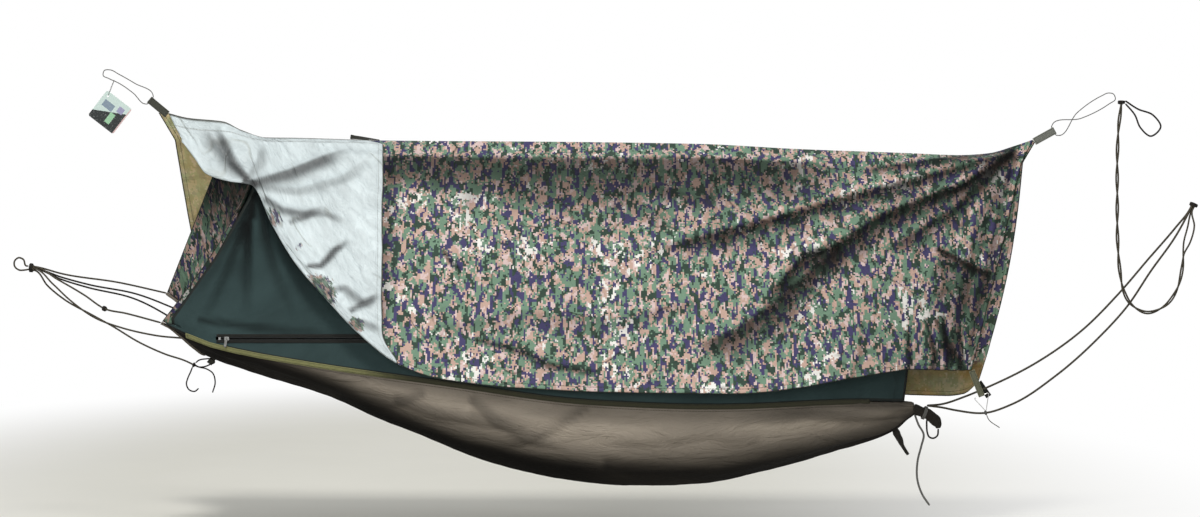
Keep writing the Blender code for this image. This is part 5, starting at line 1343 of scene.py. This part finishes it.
NET_CREASES = [
    (from_photo([(251, 187), (247, 220), (249, 270), (252, 322)], 0.15), 0.010, 0.012, 0.014, 0.92, 0.026),
    (from_photo([(252, 188), (262, 225), (276, 268), (300, 320)], 0.15), 0.012, 0.012, 0.011, 0.75, 0.022),
    (from_photo([(254, 190), (276, 228), (306, 280), (350, 334)], 0.15), 0.014, 0.014, 0.009, 0.75, 0.036),
    (from_photo([(249, 190), (240, 225), (226, 270), (204, 326)], 0.15), 0.010, 0.012, 0.011, 0.75, 0.020),
    (from_photo([(248, 190), (230, 232), (210, 272), (182, 312)], 0.15), 0.010, 0.010, 0.009, 0.65, 0.020),
    (from_photo([(196, 320), (250, 326), (300, 330), (370, 336)], 0.2), 0.010, 0.010, 0.004, 0.60, 0.016),
]
OUT_NEAR_NET = np.array([0.0, -0.93, 0.36])
OUT_FAR_NET = np.array([0.0, 0.93, 0.36])
OUT_HEAD_PANEL = np.array([-0.9, -0.3, 0.2])
OUT_FOOT_PANEL = np.array([0.98, 0.0, 0.18])


def seam_x(column, columns):
    """Where a column of the near wall crosses the zip's line."""
    if column <= ZIP_FIRST:
        return SEAM_HEAD_X + (ZIP_RUN[0] - SEAM_HEAD_X) * column / ZIP_FIRST
    if column >= ZIP_LAST:
        return ZIP_RUN[1] + (SEAM_FOOT_X - ZIP_RUN[1]) * (column - ZIP_LAST) / (columns - ZIP_LAST)
    return ZIP_RUN[0] + (ZIP_RUN[1] - ZIP_RUN[0]) * (column - ZIP_FIRST) / (ZIP_LAST - ZIP_FIRST)


def near_net_grid(feet):
    """The part's near wall: a slope from the ridge, flat strips with the zip's slot, and the foot."""
    columns = len(feet) - 1
    strip = ZIP_TAPE_WIDTH + STRIP_CLEARANCE
    grid = [[] for _ in range(NET_ROWS + 5)]
    for c, foot in enumerate(feet):
        share = c / columns
        x = float(seam_x(c, columns))
        seam = Vector((x, *SEAM(x)))
        top = net_top(NET_TOP_HEAD_X + (NET_TOP_FOOT_X - NET_TOP_HEAD_X) * share, -1)
        high = seam + UP * (ZIP_SLOT / 2)
        low = seam - UP * (ZIP_SLOT / 2)
        above = high + UP * strip
        below = low - UP * min(strip, (low.z - foot.z) * 0.90)
        for r in range(NET_ROWS + 1):
            down = r / NET_ROWS
            point = top.lerp(above, down)
            point.x += NET_HEAD_BULGE * math.sin(math.pi * down) * (1 - share)
            grid[r].append(point)
        for row, point in zip(grid[NET_ROWS + 1:], (high, low, below, foot)):
            row.append(point)
        straight = max(0.0, (c - ZIP_LAST) / (columns - ZIP_LAST))
        for row in grid:
            level = (row[c].z - foot.z) / (top.z - foot.z)
            row[c] = row[c].lerp(foot.lerp(top, level), straight)
    return grid


def make_near_net():
    """Near wall: its slope and foot are creased, and its strips beside the zip stay flat."""
    steps, slope_rows, foot_rows = 8, 16, 12
    points = finer(near_net_grid(net_feet(-1)), steps, [slope_rows] * NET_ROWS + [2, 1, 2, foot_rows])
    slot_row = slope_rows * NET_ROWS + 2
    leave_out = np.zeros((points.shape[0] - 1, points.shape[1] - 1), bool)
    leave_out[slot_row, ZIP_FIRST * steps:ZIP_LAST * steps] = True
    rows = np.arange(points.shape[0])[:, None]
    down = ramp(rows, slope_rows * NET_ROWS)
    below = ramp(rows - slot_row - 3, foot_rows)
    along = np.arange(points.shape[1])[None, :] / (points.shape[1] - 1)
    free = (held(down, 0.25, 0.14) + np.sin(np.pi * below) * 0.6) * held(along, 0.02, 0.02)
    relief = net_wrinkles(points, 51.0, 23.0) + pleated_relief(points, NET_CREASES, 0.3, 0.15)
    relief = np.clip(relief, -0.0070, 0.0090) * free
    points = points + relief[..., None] * OUT_NEAR_NET
    facts = measured(points)
    facts.update(leave_out=leave_out, tone=painted_pleat_shade(points, NET_CREASES, 0.009, 0.65))
    piece = cloth_mesh("net_wall_near", [facts], [NET_PAINT], NET_CLOTH)
    stand_in(piece, "net_near_wall")


def make_far_net():
    """Far wall: one slope from the ridge to the bed's far edge."""
    feet = net_feet(1)
    grid = [[] for _ in range(NET_ROWS + 2)]
    for c, foot in enumerate(feet):
        top = net_top(FAR_TOP_HEAD_X + (NET_TOP_FOOT_X - FAR_TOP_HEAD_X) * c / (len(feet) - 1), 1)
        for r in range(NET_ROWS + 2):
            grid[r].append(top.lerp(foot, r / (NET_ROWS + 1)))
    points = finer(grid, 7, [14] * (NET_ROWS + 1))
    down, along = sheet_shares(points)
    free = held(down, 0.2, 0.06) * held(along, 0.02, 0.02)
    points = points + (net_wrinkles(points, 61.0, 73.0) * free)[..., None] * OUT_FAR_NET
    piece = cloth_mesh("net_wall_far", [measured(points)], [NET_PAINT], NET_CLOTH)
    stand_in(piece, "net_far_wall")


def make_head_panel():
    """Panel of printed cloth that closes the head end, gathered to the ridge."""
    near_top = net_top(NET_TOP_HEAD_X - END_TOP_NEAR, -1)
    far_top = net_top(FAR_TOP_HEAD_X - END_TOP_FAR, 1)
    hem = hem_line()
    grid = []
    for r in range(END_ROWS + 1):
        up = r / END_ROWS
        line = []
        for c, foot in enumerate(hem):
            share = c / BED_ROWS
            top = near_top.lerp(far_top, share)
            start = foot + (top - foot).normalized() * (HEM_ROLL / 2 + PART_NET_CLOTH / 2 + GAP)
            point = start.lerp(top, up)
            point.x += NET_HEAD_BULGE * math.sin(math.pi * up) * (1 - share)
            line.append(point)
        grid.append(line)
    points = finer(grid, 7, [9] * END_ROWS)
    up, across = sheet_shares(points)
    free = held(up, 0.05, 0.15) * held(across, 0.05, 0.05)
    relief = np.sin(across * 26 + 2 * np.sin(across * 7)) * 0.0040 * np.clip(up / 0.5, 0.15, 1)
    relief = relief + crumple(points, 9.0, 0.0050, 33.0) + crumple(points, 24.0, 0.0018, 13.0)
    points = points + (relief * free)[..., None] * OUT_HEAD_PANEL
    facts = measured(points)
    # Painted shade: the panel darker overall and more toward the top, under the canopy, with a random mottle
    facts["tone"] = 0.70 * (1 - 0.82 * ramp(points[..., 2] - 0.080, 0.11))
    facts["tone"] *= np.clip(1 + crumple(points, 11.0, 0.55, 71.0, (1.0, 1.0, 0.4)), 0.30, 1.1)
    piece = cloth_mesh("net_panel_head", [facts], [CANOPY_PRINT], NET_CLOTH)
    stand_in(piece, "net_end_head")


def make_foot_panel():
    """Narrow panel of printed cloth that closes the foot end."""
    corner = net_feet(-1)[-1]
    set_off = PART_NET_CLOTH / 2 + GAP * 2
    grid = []
    for r in range(END_ROWS + 1):
        line = []
        for side in (-1, -0.5, 0, 0.5, 1):
            foot = Vector((corner.x + set_off, side * (-corner.y - PART_NET_CLOTH), corner.z))
            line.append(foot.lerp(net_top(NET_TOP_FOOT_X + set_off, side), r / END_ROWS))
        grid.append(line)
    points = finer(grid, 5, [9] * END_ROWS)
    up = sheet_shares(points)[0]
    relief = (crumple(points, 12.0, 0.0050, 43.0) + crumple(points, 30.0, 0.0016, 19.0)) * np.sin(np.pi * up)
    points = points + relief[..., None] * OUT_FOOT_PANEL
    piece = cloth_mesh("net_panel_foot", [measured(points)], [CANOPY_PRINT], NET_CLOTH)
    stand_in(piece, "net_end_foot")


NET_PAINT = net_cloth()
make_near_net()
make_far_net()
make_head_panel()
make_foot_panel()

# Edge bindings, zip and webbing
BINDING_WIDTH = 0.013
BINDING_OUT = 0.00225
BINDING_TAPE_THICKNESS = 0.0008
BINDING_ROWS = 7
# The binding is painted in shadow from this x on, under the canopy's hem
BINDING_SHADOW_FROM = 0.90
BINDING_TAPE = woven_tape("binding_tape", (0.290, 0.292, 0.125), (0.165, 0.164, 0.070), 0.0013,
                          painted_shadow_from=BINDING_SHADOW_FROM)


def make_binding(name, side):
    """The woven tape that binds a bed edge, a little rounded, outside the cloth."""
    first, last = 1, BED_COLUMNS - 2
    steps = 7
    along = np.linspace(first, last, (last - first) * steps + 1) / BED_COLUMNS
    knots = bed_points(np.arange(first, last + 1) / BED_COLUMNS, np.full(last - first + 1, float(side)))
    share = np.arange(len(along)) / steps
    line = np.stack([np.interp(share, np.arange(len(knots)), knots[:, axis]) for axis in range(3)], axis=-1)
    ahead = np.gradient(line, axis=0)
    out = np.stack([-ahead[:, 1], ahead[:, 0], np.zeros(len(line))], axis=-1) * side
    out /= np.linalg.norm(out, axis=1)[:, None]
    rows = []
    for level in np.arange(BINDING_ROWS) / (BINDING_ROWS - 1):
        bow = BINDING_OUT + 0.0005 * math.sin(math.pi * level)
        ripple = 0.00025 * np.sin(along * 420 + level * 2)
        row = line + out * (bow + ripple)[:, None]
        row[:, 2] += BINDING_WIDTH * (0.5 - level)
        rows.append(row)
    piece = cloth_mesh(f"{name}_tape", [measured(np.array(rows))], [BINDING_TAPE], BINDING_TAPE_THICKNESS)
    stand_in(piece, name)


make_binding("sling_binding_near", -1)
make_binding("sling_binding_far", 1)

ZIP_SLIT = 0.0018
ZIP_ROW_WIDTH = 0.0026
TAPE = 0.0009
TAPE_OVERRUN = 0.012
TAPE_MIDDLE = PART_NET_CLOTH / 2 + GAP + TAPE / 2
TAPE_RIPPLE = 0.00012
TAPE_ROWS, TAPE_COLUMNS = 5, 260
ROW_DEPTH = 0.0024
TEETH_PITCH = 0.0025
BEAD_RADIUS = 0.00035
ZIP_END_X = ZIP_START_X + ZIP_LENGTH
# Half of a tooth's outline: half width and level, from its root to its head
TOOTH_HALF = [(0.00055, 0.04), (0.00085, 0.24), (0.00045, 0.46), (0.00095, 0.66), (0.00095, 1.00)]


def make_zip():
    """Two woven tapes, each with its row of moulded teeth along a cord bead."""
    near = ZIP_SLIT / 2 + ZIP_ROW_WIDTH + GAP
    x = np.linspace(ZIP_START_X - TAPE_OVERRUN, ZIP_END_X + TAPE_OVERRUN, TAPE_COLUMNS)
    for name, side in (("upper", 1), ("lower", -1)):
        rows = []
        for k in range(TAPE_ROWS):
            z = ZIP_Z + side * (near + ZIP_TAPE_WIDTH * k / (TAPE_ROWS - 1))
            y = ZIP_Y - TAPE_MIDDLE + TAPE_RIPPLE * np.sin(x * 90 + k)
            rows.append(np.stack([x, y, np.full_like(x, z)], axis=-1))
        tape = cloth_mesh(f"zip_tape_{name}_woven", [measured(np.array(rows))], [ZIP_TAPE_PAINT], TAPE * 0.9)
        stand_in(tape, f"zip_tape_{name}")
        teeth_row(name, side)


def teeth_row(name, side):
    """One row of teeth in one mesh: each tooth has a waist and a round head that points into the slit."""
    outline = [(-half, level) for half, level in reversed(TOOTH_HALF)] + TOOTH_HALF
    depth = ROW_DEPTH / 2
    middle_y = ZIP_Y - TAPE_MIDDLE
    points, faces = [], []
    sides = len(outline)
    rings = ((-depth, 0.72), (-depth * 0.6, 1.0), (depth * 0.6, 1.0), (depth, 0.72))
    last = len(rings) - 1
    for i in range(int(ZIP_LENGTH / TEETH_PITCH)):
        x = ZIP_START_X + TEETH_PITCH * (i + 0.5) + TEETH_PITCH / 4 * side
        first = len(points)
        for y, size in rings:
            for across, level in outline:
                inward = (level - 0.5) * size + 0.5
                z = ZIP_Z + side * (ZIP_SLIT / 2 + ZIP_ROW_WIDTH * inward)
                points.append((min(max(x + across * size, ZIP_START_X), ZIP_END_X), middle_y + y, z))
        for ring in range(last):
            for k in range(sides):
                a, b = first + ring * sides + k, first + ring * sides + (k + 1) % sides
                faces.append((a, b, b + sides, a + sides))
        faces.append(tuple(first + k for k in range(sides - 1, -1, -1)))
        faces.append(tuple(first + last * sides + k for k in range(sides)))
    mesh = bpy.data.meshes.new(f"zip_teeth_{name}")
    mesh.from_pydata(points, [], faces)
    if side < 0:
        mesh.flip_normals()
    mesh.materials.append(TEETH_PAINT)
    stand_in(placed(f"zip_teeth_{name}", mesh), f"zip_row_{name}")
    root_z = ZIP_Z + side * (ZIP_SLIT / 2 + ZIP_ROW_WIDTH)
    path = route([(ZIP_START_X, middle_y, root_z), (ZIP_END_X, middle_y, root_z)], 0.01)
    bead = tube_mesh(f"zip_bead_{name}", path, BEAD_RADIUS, TEETH_PAINT, 8)
    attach(bead, "hammock")


ZIP_TAPE_PAINT = woven_tape("zip_tape", (0.020, 0.021, 0.021), (0.010, 0.011, 0.011), 0.0009)
TEETH_PAINT = teeth_plastic()
make_zip()


def make_strap(node, body, end, direction, flat_axis, length, width, eye, material, twist=0.0):
    """A doubled webbing strap in one ribbon: out, round its eye and back, twisted toward the eye."""
    x_axis = Vector(direction).normalized()
    z_axis = x_axis.cross(Vector(flat_axis)).normalized()
    y_axis = z_axis.cross(x_axis)
    half = WEBBING / 2
    neck = length - 2.6 * (eye + WEBBING)
    path = [(neck * k / STRAP_STEPS, half) for k in range(STRAP_STEPS + 1)]
    for i in range(EYE_STEPS + 1):
        angle = math.radians(120 - 240 / EYE_STEPS * i)
        path.append((length + (eye + half) * math.cos(angle), (eye + half) * math.sin(angle)))
    path += [(neck * k / STRAP_STEPS, -half) for k in range(STRAP_STEPS, -1, -1)]
    points = np.zeros((STRAP_COLUMNS + 1, len(path), 3))
    for c in range(STRAP_COLUMNS + 1):
        across = (c / STRAP_COLUMNS - 0.5) * (width - STRAP_INSET)
        for i, (u, v) in enumerate(path):
            angle = twist * u / length
            lifted = v * math.cos(angle) + across * math.sin(angle)
            aside = across * math.cos(angle) - v * math.sin(angle)
            points[c, i] = Vector(end) + x_axis * u + y_axis * lifted + z_axis * aside
    piece = cloth_mesh(f"{node}_ribbon", [measured(points)], [material], WEBBING * 0.88)
    soft = piece.modifiers.new("edges", "BEVEL")
    soft.width = 0.0003
    soft.segments = 2
    soft.limit_method = "ANGLE"
    stand_in(piece, node, body)


STRAP_INSET = 0.0012
STRAP_STEPS, EYE_STEPS, STRAP_COLUMNS = 14, 18, 10
TAB_LENGTH = 0.062
TAB_EYE = THIN_CORD / 2 + GAP * 3
STRAP_WIDTH, STRAP_LENGTH = 0.018, 0.048
STRAP_EYE = 0.0022 / 2 + GAP
ALONG_Y = (0, 1, 0)
DARK_WEBBING = woven_tape("webbing_dark", (0.040, 0.041, 0.034), (0.020, 0.020, 0.017))
OLIVE_WEBBING = woven_tape("webbing_olive", (0.190, 0.195, 0.130), (0.110, 0.112, 0.074))
GREY_WEBBING = woven_tape("webbing_grey", (0.095, 0.098, 0.080), (0.052, 0.053, 0.043))
PALE_WEBBING = woven_tape("webbing_pale", (0.260, 0.270, 0.235), (0.150, 0.155, 0.135))
NEAR_CORNER = (2.6574, -(NEAR_CORNER_SHARE * FLAP_SPREAD + 0.0008), -0.3017)
FAR_FOOT_CORNER = (2.7051, FAR_CORNER_SHARE * FLAP_SPREAD, -0.3428)
FAR_HEAD_CORNER = (0.4995, FAR_HEAD_SHARE * FLAP_SPREAD, -0.2606)
make_strap("ridge_tab_head", "hammock", (0.4125, 0, 0.4130), (-0.77, 0, 0.64), ALONG_Y,
           TAB_LENGTH, WEBBING_WIDTH, TAB_EYE, GREY_WEBBING)
make_strap("ridge_tab_foot", "hammock", (2.8402, 0, 0.3370), (0.875, 0, 0.484), ALONG_Y,
           TAB_LENGTH, WEBBING_WIDTH, TAB_EYE, PALE_WEBBING)
make_strap("corner_strap_near_foot", "near_flap", NEAR_CORNER, (0.365, 0, -0.931), ALONG_Y,
           0.0745, STRAP_WIDTH, STRAP_EYE, OLIVE_WEBBING)
make_strap("corner_strap_far_foot", "far_flap", FAR_FOOT_CORNER, (0.57, 0, -0.82), ALONG_Y,
           STRAP_LENGTH, STRAP_WIDTH, STRAP_EYE, DARK_WEBBING)
make_strap("corner_strap_far_head", "far_flap", FAR_HEAD_CORNER, (-0.6, 0, -0.8), ALONG_Y,
           STRAP_LENGTH, STRAP_WIDTH, STRAP_EYE, GREY_WEBBING)
make_strap("corner_strap_near_head", "hammock", (1.006, 0, float(RIDGE_Z(0.965)) + WEBBING), (-1, 0, 0.11),
           (0.11, 0, 1), 0.078, 0.012, 0.0022, DARK_WEBBING, twist=1.2)


# Windings, knots and bunched ends
def make_winding(node, centre, axis, bundle_radius, diameter, turns, material):
    """Cord wound side by side round a bundle, with its two ends tucked under the turns."""
    axis = Vector(axis).normalized()
    across = axis.orthogonal().normalized()
    third = axis.cross(across)
    radius = bundle_radius / math.cos(math.pi / TURN_SIDES) + GAP + diameter / 2
    steps = int(turns * TURN_STEPS)
    path = []
    for i in range(steps + 1):
        share = i / steps
        angle = 2 * math.pi * turns * share
        along = diameter * (turns - 1) * (share - 0.5)
        tucked = 0.0007 * (math.exp(-share * turns * 7) + math.exp(-(1 - share) * turns * 7))
        uneven = 0.00018 * math.sin(angle * 1.7 + 1)
        out = across * math.cos(angle) + third * math.sin(angle)
        path.append(Vector(centre) + axis * along + out * (radius - tucked + uneven))
    piece = tube_mesh(f"{node}_turns", path, diameter * 0.49, material, 10, plaited(diameter), 0.3)
    stand_in(piece, node)


TURN_SIDES = 12
TURN_STEPS = 26
PAIR_STEP = ROPE / 2 + GAP / 2
NECK = Vector((2.5020, 0.0, -0.4105))
NECK_DIR = Vector((0.93, 0.0, -0.36)).normalized()
NECK_RADIUS = 0.0135
# Windings: node, centre, axis, radius of the bundle, cord, turns and material
WINDINGS = [
    ("clew_lashing", (0.032, 0, -0.0162), (1, 0, -0.12), CORD * 1.5 + GAP * 2, WIND, 3, DARK_BRAID),
    ("bow_knot", (0.487, 0, -0.288), (0.90, 0, -0.43), CORD / 2, WIND, 2, DARK_BRAID),
    ("clew_knot", (0.262, -0.110, -0.128), (0.83, -0.455, -0.31), CORD / 2 + GAP, WIND, 3, DARK_BRAID),
    ("gather_lashing_foot", NECK + NECK_DIR * 0.033, NECK_DIR, NECK_RADIUS * 1.08, WIND, 3, GREY_BRAID),
    ("anchor_lashing_lower", (3.286, 0, 0.160), (0.45, 0, 0.89), PAIR_STEP * math.sqrt(2) + ROPE / 2,
     WIND, 3, DARK_BRAID),
    ("anchor_lashing_upper", (3.0805, -0.014, 0.446), (0.1, 0, 1), CORD + GAP * 2, WIND, 3, DARK_BRAID),
    ("corner_knot", (2.7030, -0.0060, -0.4217), (0.99, 0, 0.10), PAIR_STEP, THIN_CORD, 3, GREY_BRAID),
]
for winding in WINDINGS:
    make_winding(*winding)


def make_bunch(node, stations, pleats, material):
    """Bunched cloth: the part's tapering roll, with deep uneven pleats along it."""
    centres = [Vector(centre) for centre, radius in stations]
    travelled = travel(centres)
    path = route(centres, 0.0016)
    lengths = travel(path)
    sizes = [radius for centre, radius in stations]
    radii = np.interp(lengths / lengths[-1] * travelled[-1], travelled, sizes)
    widest = float(radii.max())

    def pleated(along, angle):
        own = float(np.interp(along, lengths, radii)) / widest
        fold_angle = angle + 0.5 * math.sin(along * 70)
        depth = 0.12 * math.sin(fold_angle * pleats) + 0.05 * math.sin(fold_angle * (pleats * 2 + 1) + 1)
        lump = 0.05 * math.sin(along * 190 + 2 * math.sin(angle))
        return own * (0.98 + depth * 0.8 + lump)

    piece = tube_mesh(f"{node}_pleats", path, widest, material, pleats * 8, pleated)
    stand_in(piece, node)


# The bunched sling cloth is painted near black: a shaded copy of the bed's brown, painted shade of its deep
# folds
SHADED_BUNCHED_CLOTH = woven_tape("bunched_cloth_shaded", (0.024, 0.021, 0.017), (0.012, 0.011, 0.009), 0.0010, 0.85)
make_bunch("gather_knot_foot", [
    (NECK, NECK_RADIUS), (NECK + NECK_DIR * 0.020, NECK_RADIUS), (NECK + NECK_DIR * 0.045, NECK_RADIUS),
    ((2.5530, 0, -0.4345), NECK_RADIUS * 1.10), ((2.5640, 0, -0.4450), NECK_RADIUS * 1.05),
    ((2.5700, 0, -0.4560), NECK_RADIUS * 0.80), ((2.5715, 0, -0.4650), NECK_RADIUS * 0.45),
], 11, SHADED_BUNCHED_CLOTH)
make_bunch("gather_tail_short", [
    ((2.4480, 0, -0.4638), 0.0062), ((2.4550, 0, -0.4795), 0.0100), ((2.4630, 0, -0.4960), 0.0085),
    ((2.4700, 0, -0.5120), 0.0055), ((2.4780, 0, -0.5260), 0.0045), ((2.4870, 0, -0.5390), 0.0040),
], 7, SHADED_BUNCHED_CLOTH)


# Tag, and the metal and card pieces that keep their CAD shape
TAG_CORNER = Vector((0.1904, 0.0, 0.4116))
TAG_ALONG = Vector((0.79, 0.0, -0.61)).normalized()
TAG_UP = Vector((0.61, 0.0, 0.79)).normalized()
TAG_SIDE = 0.088
TAG_INSET = 0.012
TAG_HOLE = 0.0030
TAG_THICKNESS = 0.0008
TAG_PEG = Vector((0.2630, 0.0, 0.5072))
TAG_PALE, TAG_DARK, TAG_RUBBED = (0.530, 0.640, 0.600), (0.030, 0.034, 0.034), (0.620, 0.640, 0.620)
# Printed blocks of the tag: colour, then its lowest and highest place along the card and up it
TAG_BLOCKS = [
    ((0.210, 0.270, 0.330), (0.012, 0.046), (0.046, 0.066)),
    ((0.300, 0.290, 0.430), (0.056, 0.074), (0.056, 0.074)),
    ((0.300, 0.520, 0.330), (0.046, 0.062), (0.014, 0.046)),
    ((0.600, 0.430, 0.420), (0.0845, 0.090), (0.0, 0.088)),
]


def tag_card():
    """A bare printed card: plain blocks of colour, no words."""
    paint = Paint("tag_card", roughness=0.42)
    place = paint.rest()

    def reach(axis):
        made = paint.add("ShaderNodeVectorMath", operation="DOT_PRODUCT")
        paint.feed(made.inputs[0], paint.vector("SUBTRACT", place, tuple(TAG_CORNER)))
        made.inputs[1].default_value = tuple(axis)
        return made.outputs["Value"]

    def between(value, low, high):
        return paint.times(paint.math("GREATER_THAN", value, low), paint.math("LESS_THAN", value, high))

    along, up = reach(TAG_ALONG), reach(TAG_UP)
    slope = paint.less(up, paint.times(along, 0.55))
    shade = paint.mix(paint.math("LESS_THAN", slope, 0.020), TAG_PALE, TAG_DARK)
    for colour, span, rise in TAG_BLOCKS:
        shade = paint.mix(paint.times(between(along, *span), between(up, *rise)), shade, colour)
    rubbed = paint.step(paint.noise(place, 210.0, 4.0, 0.6), 0.56, 0.70)
    paint.colour(paint.mix(paint.times(rubbed, 0.35), shade, TAG_RUBBED))
    paint.roughness(paint.ranged(paint.noise(place, 90.0), 0.3, 0.28))
    paint.bump((paint.noise(place, 60.0, 3.0), 0.0006), (paint.noise(place, 900.0, 2.0), 0.00005))
    return paint.material


def make_tag_string():
    """A loop of thin string over the ridge cord and through the tag's hole."""
    eye = TAG_CORNER + TAG_ALONG * TAG_INSET + TAG_UP * (TAG_SIDE - TAG_INSET) - TAG_PEG
    fall = eye.normalized()
    over = THIN_CORD / 2 + GAP + STRING / 2
    under = TAG_THICKNESS / 2 + GAP * 2 + STRING / 2
    under_centre = fall * (eye.length - TAG_HOLE - STRING / 2)
    points = []
    for centre, radius, first in ((Vector((0, 0, 0)), over, 0), (under_centre, under, 180)):
        for step in range(9):
            angle = math.radians(first + 22.5 * step)
            out = Vector(ALONG_Y) * math.cos(angle) - fall * math.sin(angle)
            points.append(TAG_PEG + centre + out * radius)
    path = route(points + [points[0]], 0.0006)
    piece = tube_mesh("hang_tag_string_braid", path, STRING / 2, PALE_BRAID, 8, plaited(STRING))
    declare_cord("hang_tag_string", piece, "tag", STRING, 0.098, "object", "hanging")


def paint_nodes():
    """Worn metal and card on the CAD nodes that stay."""
    dark_metal = metal("zip_metal", (0.120, 0.120, 0.115), 0.38)
    bright_metal = metal("ring_steel", (0.520, 0.520, 0.500), 0.32)
    finishes = {
        "zip_stop_head": dark_metal, "zip_stop_foot": dark_metal, "zip_slider": dark_metal,
        "zip_pull": dark_metal, "corner_ring": bright_metal, "hang_tag": tag_card(),
    }
    for node, material in finishes.items():
        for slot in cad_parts[node].material_slots:
            slot.material = material


make_tag_string()
paint_nodes()

# Floor and light
FLOOR_Z = -0.735
FLOOR_REACH = 60.0
FLOOR_SEEN, FLOOR_LIT = (0.800, 0.785, 0.710), (0.300, 0.290, 0.260)
WHITE = (1, 1, 1, 1)


def seen_ray(tree):
    """1 for rays that show a thing directly, in a mirror or through a clear one; 0 for rays of light."""
    ray = tree.nodes.new("ShaderNodeLightPath")
    seen = ray.outputs["Is Camera Ray"]
    for kind in ("Is Glossy Ray", "Is Transmission Ray"):
        either = tree.nodes.new("ShaderNodeMath")
        either.operation = "MAXIMUM"
        tree.links.new(seen, either.inputs[0])
        tree.links.new(ray.outputs[kind], either.inputs[1])
        seen = either.outputs[0]
    return seen


def mix_shaders(tree, share, first, second, output):
    """Lead the mix of two shaders to an output node."""
    blend = tree.nodes.new("ShaderNodeMixShader")
    for socket, source in zip(blend.inputs, (share, first.outputs[0], second.outputs[0])):
        tree.links.new(source, socket)
    tree.links.new(blend.outputs[0], tree.nodes[output].inputs["Surface"])


def make_floor():
    """A pale warm floor under the hammock that turns white further out."""
    mesh = bpy.data.meshes.new("floor")
    mesh.from_pydata([(x * FLOOR_REACH, y * FLOOR_REACH, FLOOR_Z)
                      for x, y in ((-1, -1), (1, -1), (1, 1), (-1, 1))], [], [(0, 1, 2, 3)])
    paint = Paint("floor", roughness=0.95, specular=0.1)
    place = paint.rest()
    centred = paint.vector("SUBTRACT", place, (1.0, 1.6, FLOOR_Z))
    away = paint.add("ShaderNodeVectorMath", operation="LENGTH")
    paint.feed(away.inputs[0], paint.vector("MULTIPLY", centred, (0.60, 0.31, 1.0)))
    ray = paint.add("ShaderNodeLightPath")
    shown = paint.mix(ray.outputs["Is Camera Ray"], FLOOR_LIT, FLOOR_SEEN)
    paint.colour(paint.shade(shown, paint.ranged(paint.noise(place, 3.0, 3.0), 0.04, 0.98)))
    glow = paint.add("ShaderNodeEmission")
    paint.preset(glow, {"Color": WHITE})
    fade = paint.times(paint.step(away.outputs["Value"], 0.50, 1.75), seen_ray(paint.tree))
    mix_shaders(paint.tree, fade, paint.shader, glow, "Material Output")
    mesh.materials.append(paint.material)
    placed("floor", mesh)


def make_world():
    """A white room to look at, and a weaker cool light from all round."""
    world = bpy.data.worlds.new("studio")
    bpy.context.scene.world = world
    world.use_nodes = True
    tree = world.node_tree
    shown = tree.nodes["Background"]
    fill = tree.nodes.new("ShaderNodeBackground")
    for background, colour, strength in ((shown, WHITE, 1.0), (fill, (0.93, 0.96, 1.0, 1), 0.30)):
        background.inputs["Color"].default_value = colour
        background.inputs["Strength"].default_value = strength
    mix_shaders(tree, seen_ray(tree), fill, shown, "World Output")


def make_light(name, place, aim, size, power, colour=(1, 1, 1)):
    """A square lamp at a place, turned to its aim."""
    data = bpy.data.lights.new(name, "AREA")
    data.shape = "SQUARE"
    data.size = size
    data.energy = power
    data.color = colour
    light = placed(name, data)
    light.location = place
    light.rotation_euler = (Vector(aim) - Vector(place)).to_track_quat("-Z", "Y").to_euler()


make_floor()
make_world()
make_light("key", (0.9, -3.3, 5.1), (1.6, 0.0, 0.0), 1.4, 205.0, (1.0, 0.985, 0.96))
make_light("front", (1.0, -5.6, 0.2), (1.6, 0.0, -0.3), 2.0, 175.0)
make_light("back_fill", (2.0, 4.5, 3.6), (1.6, 0.0, 0.0), 4.0, 110.0)
bpy.context.scene.view_settings.view_transform = "Standard"
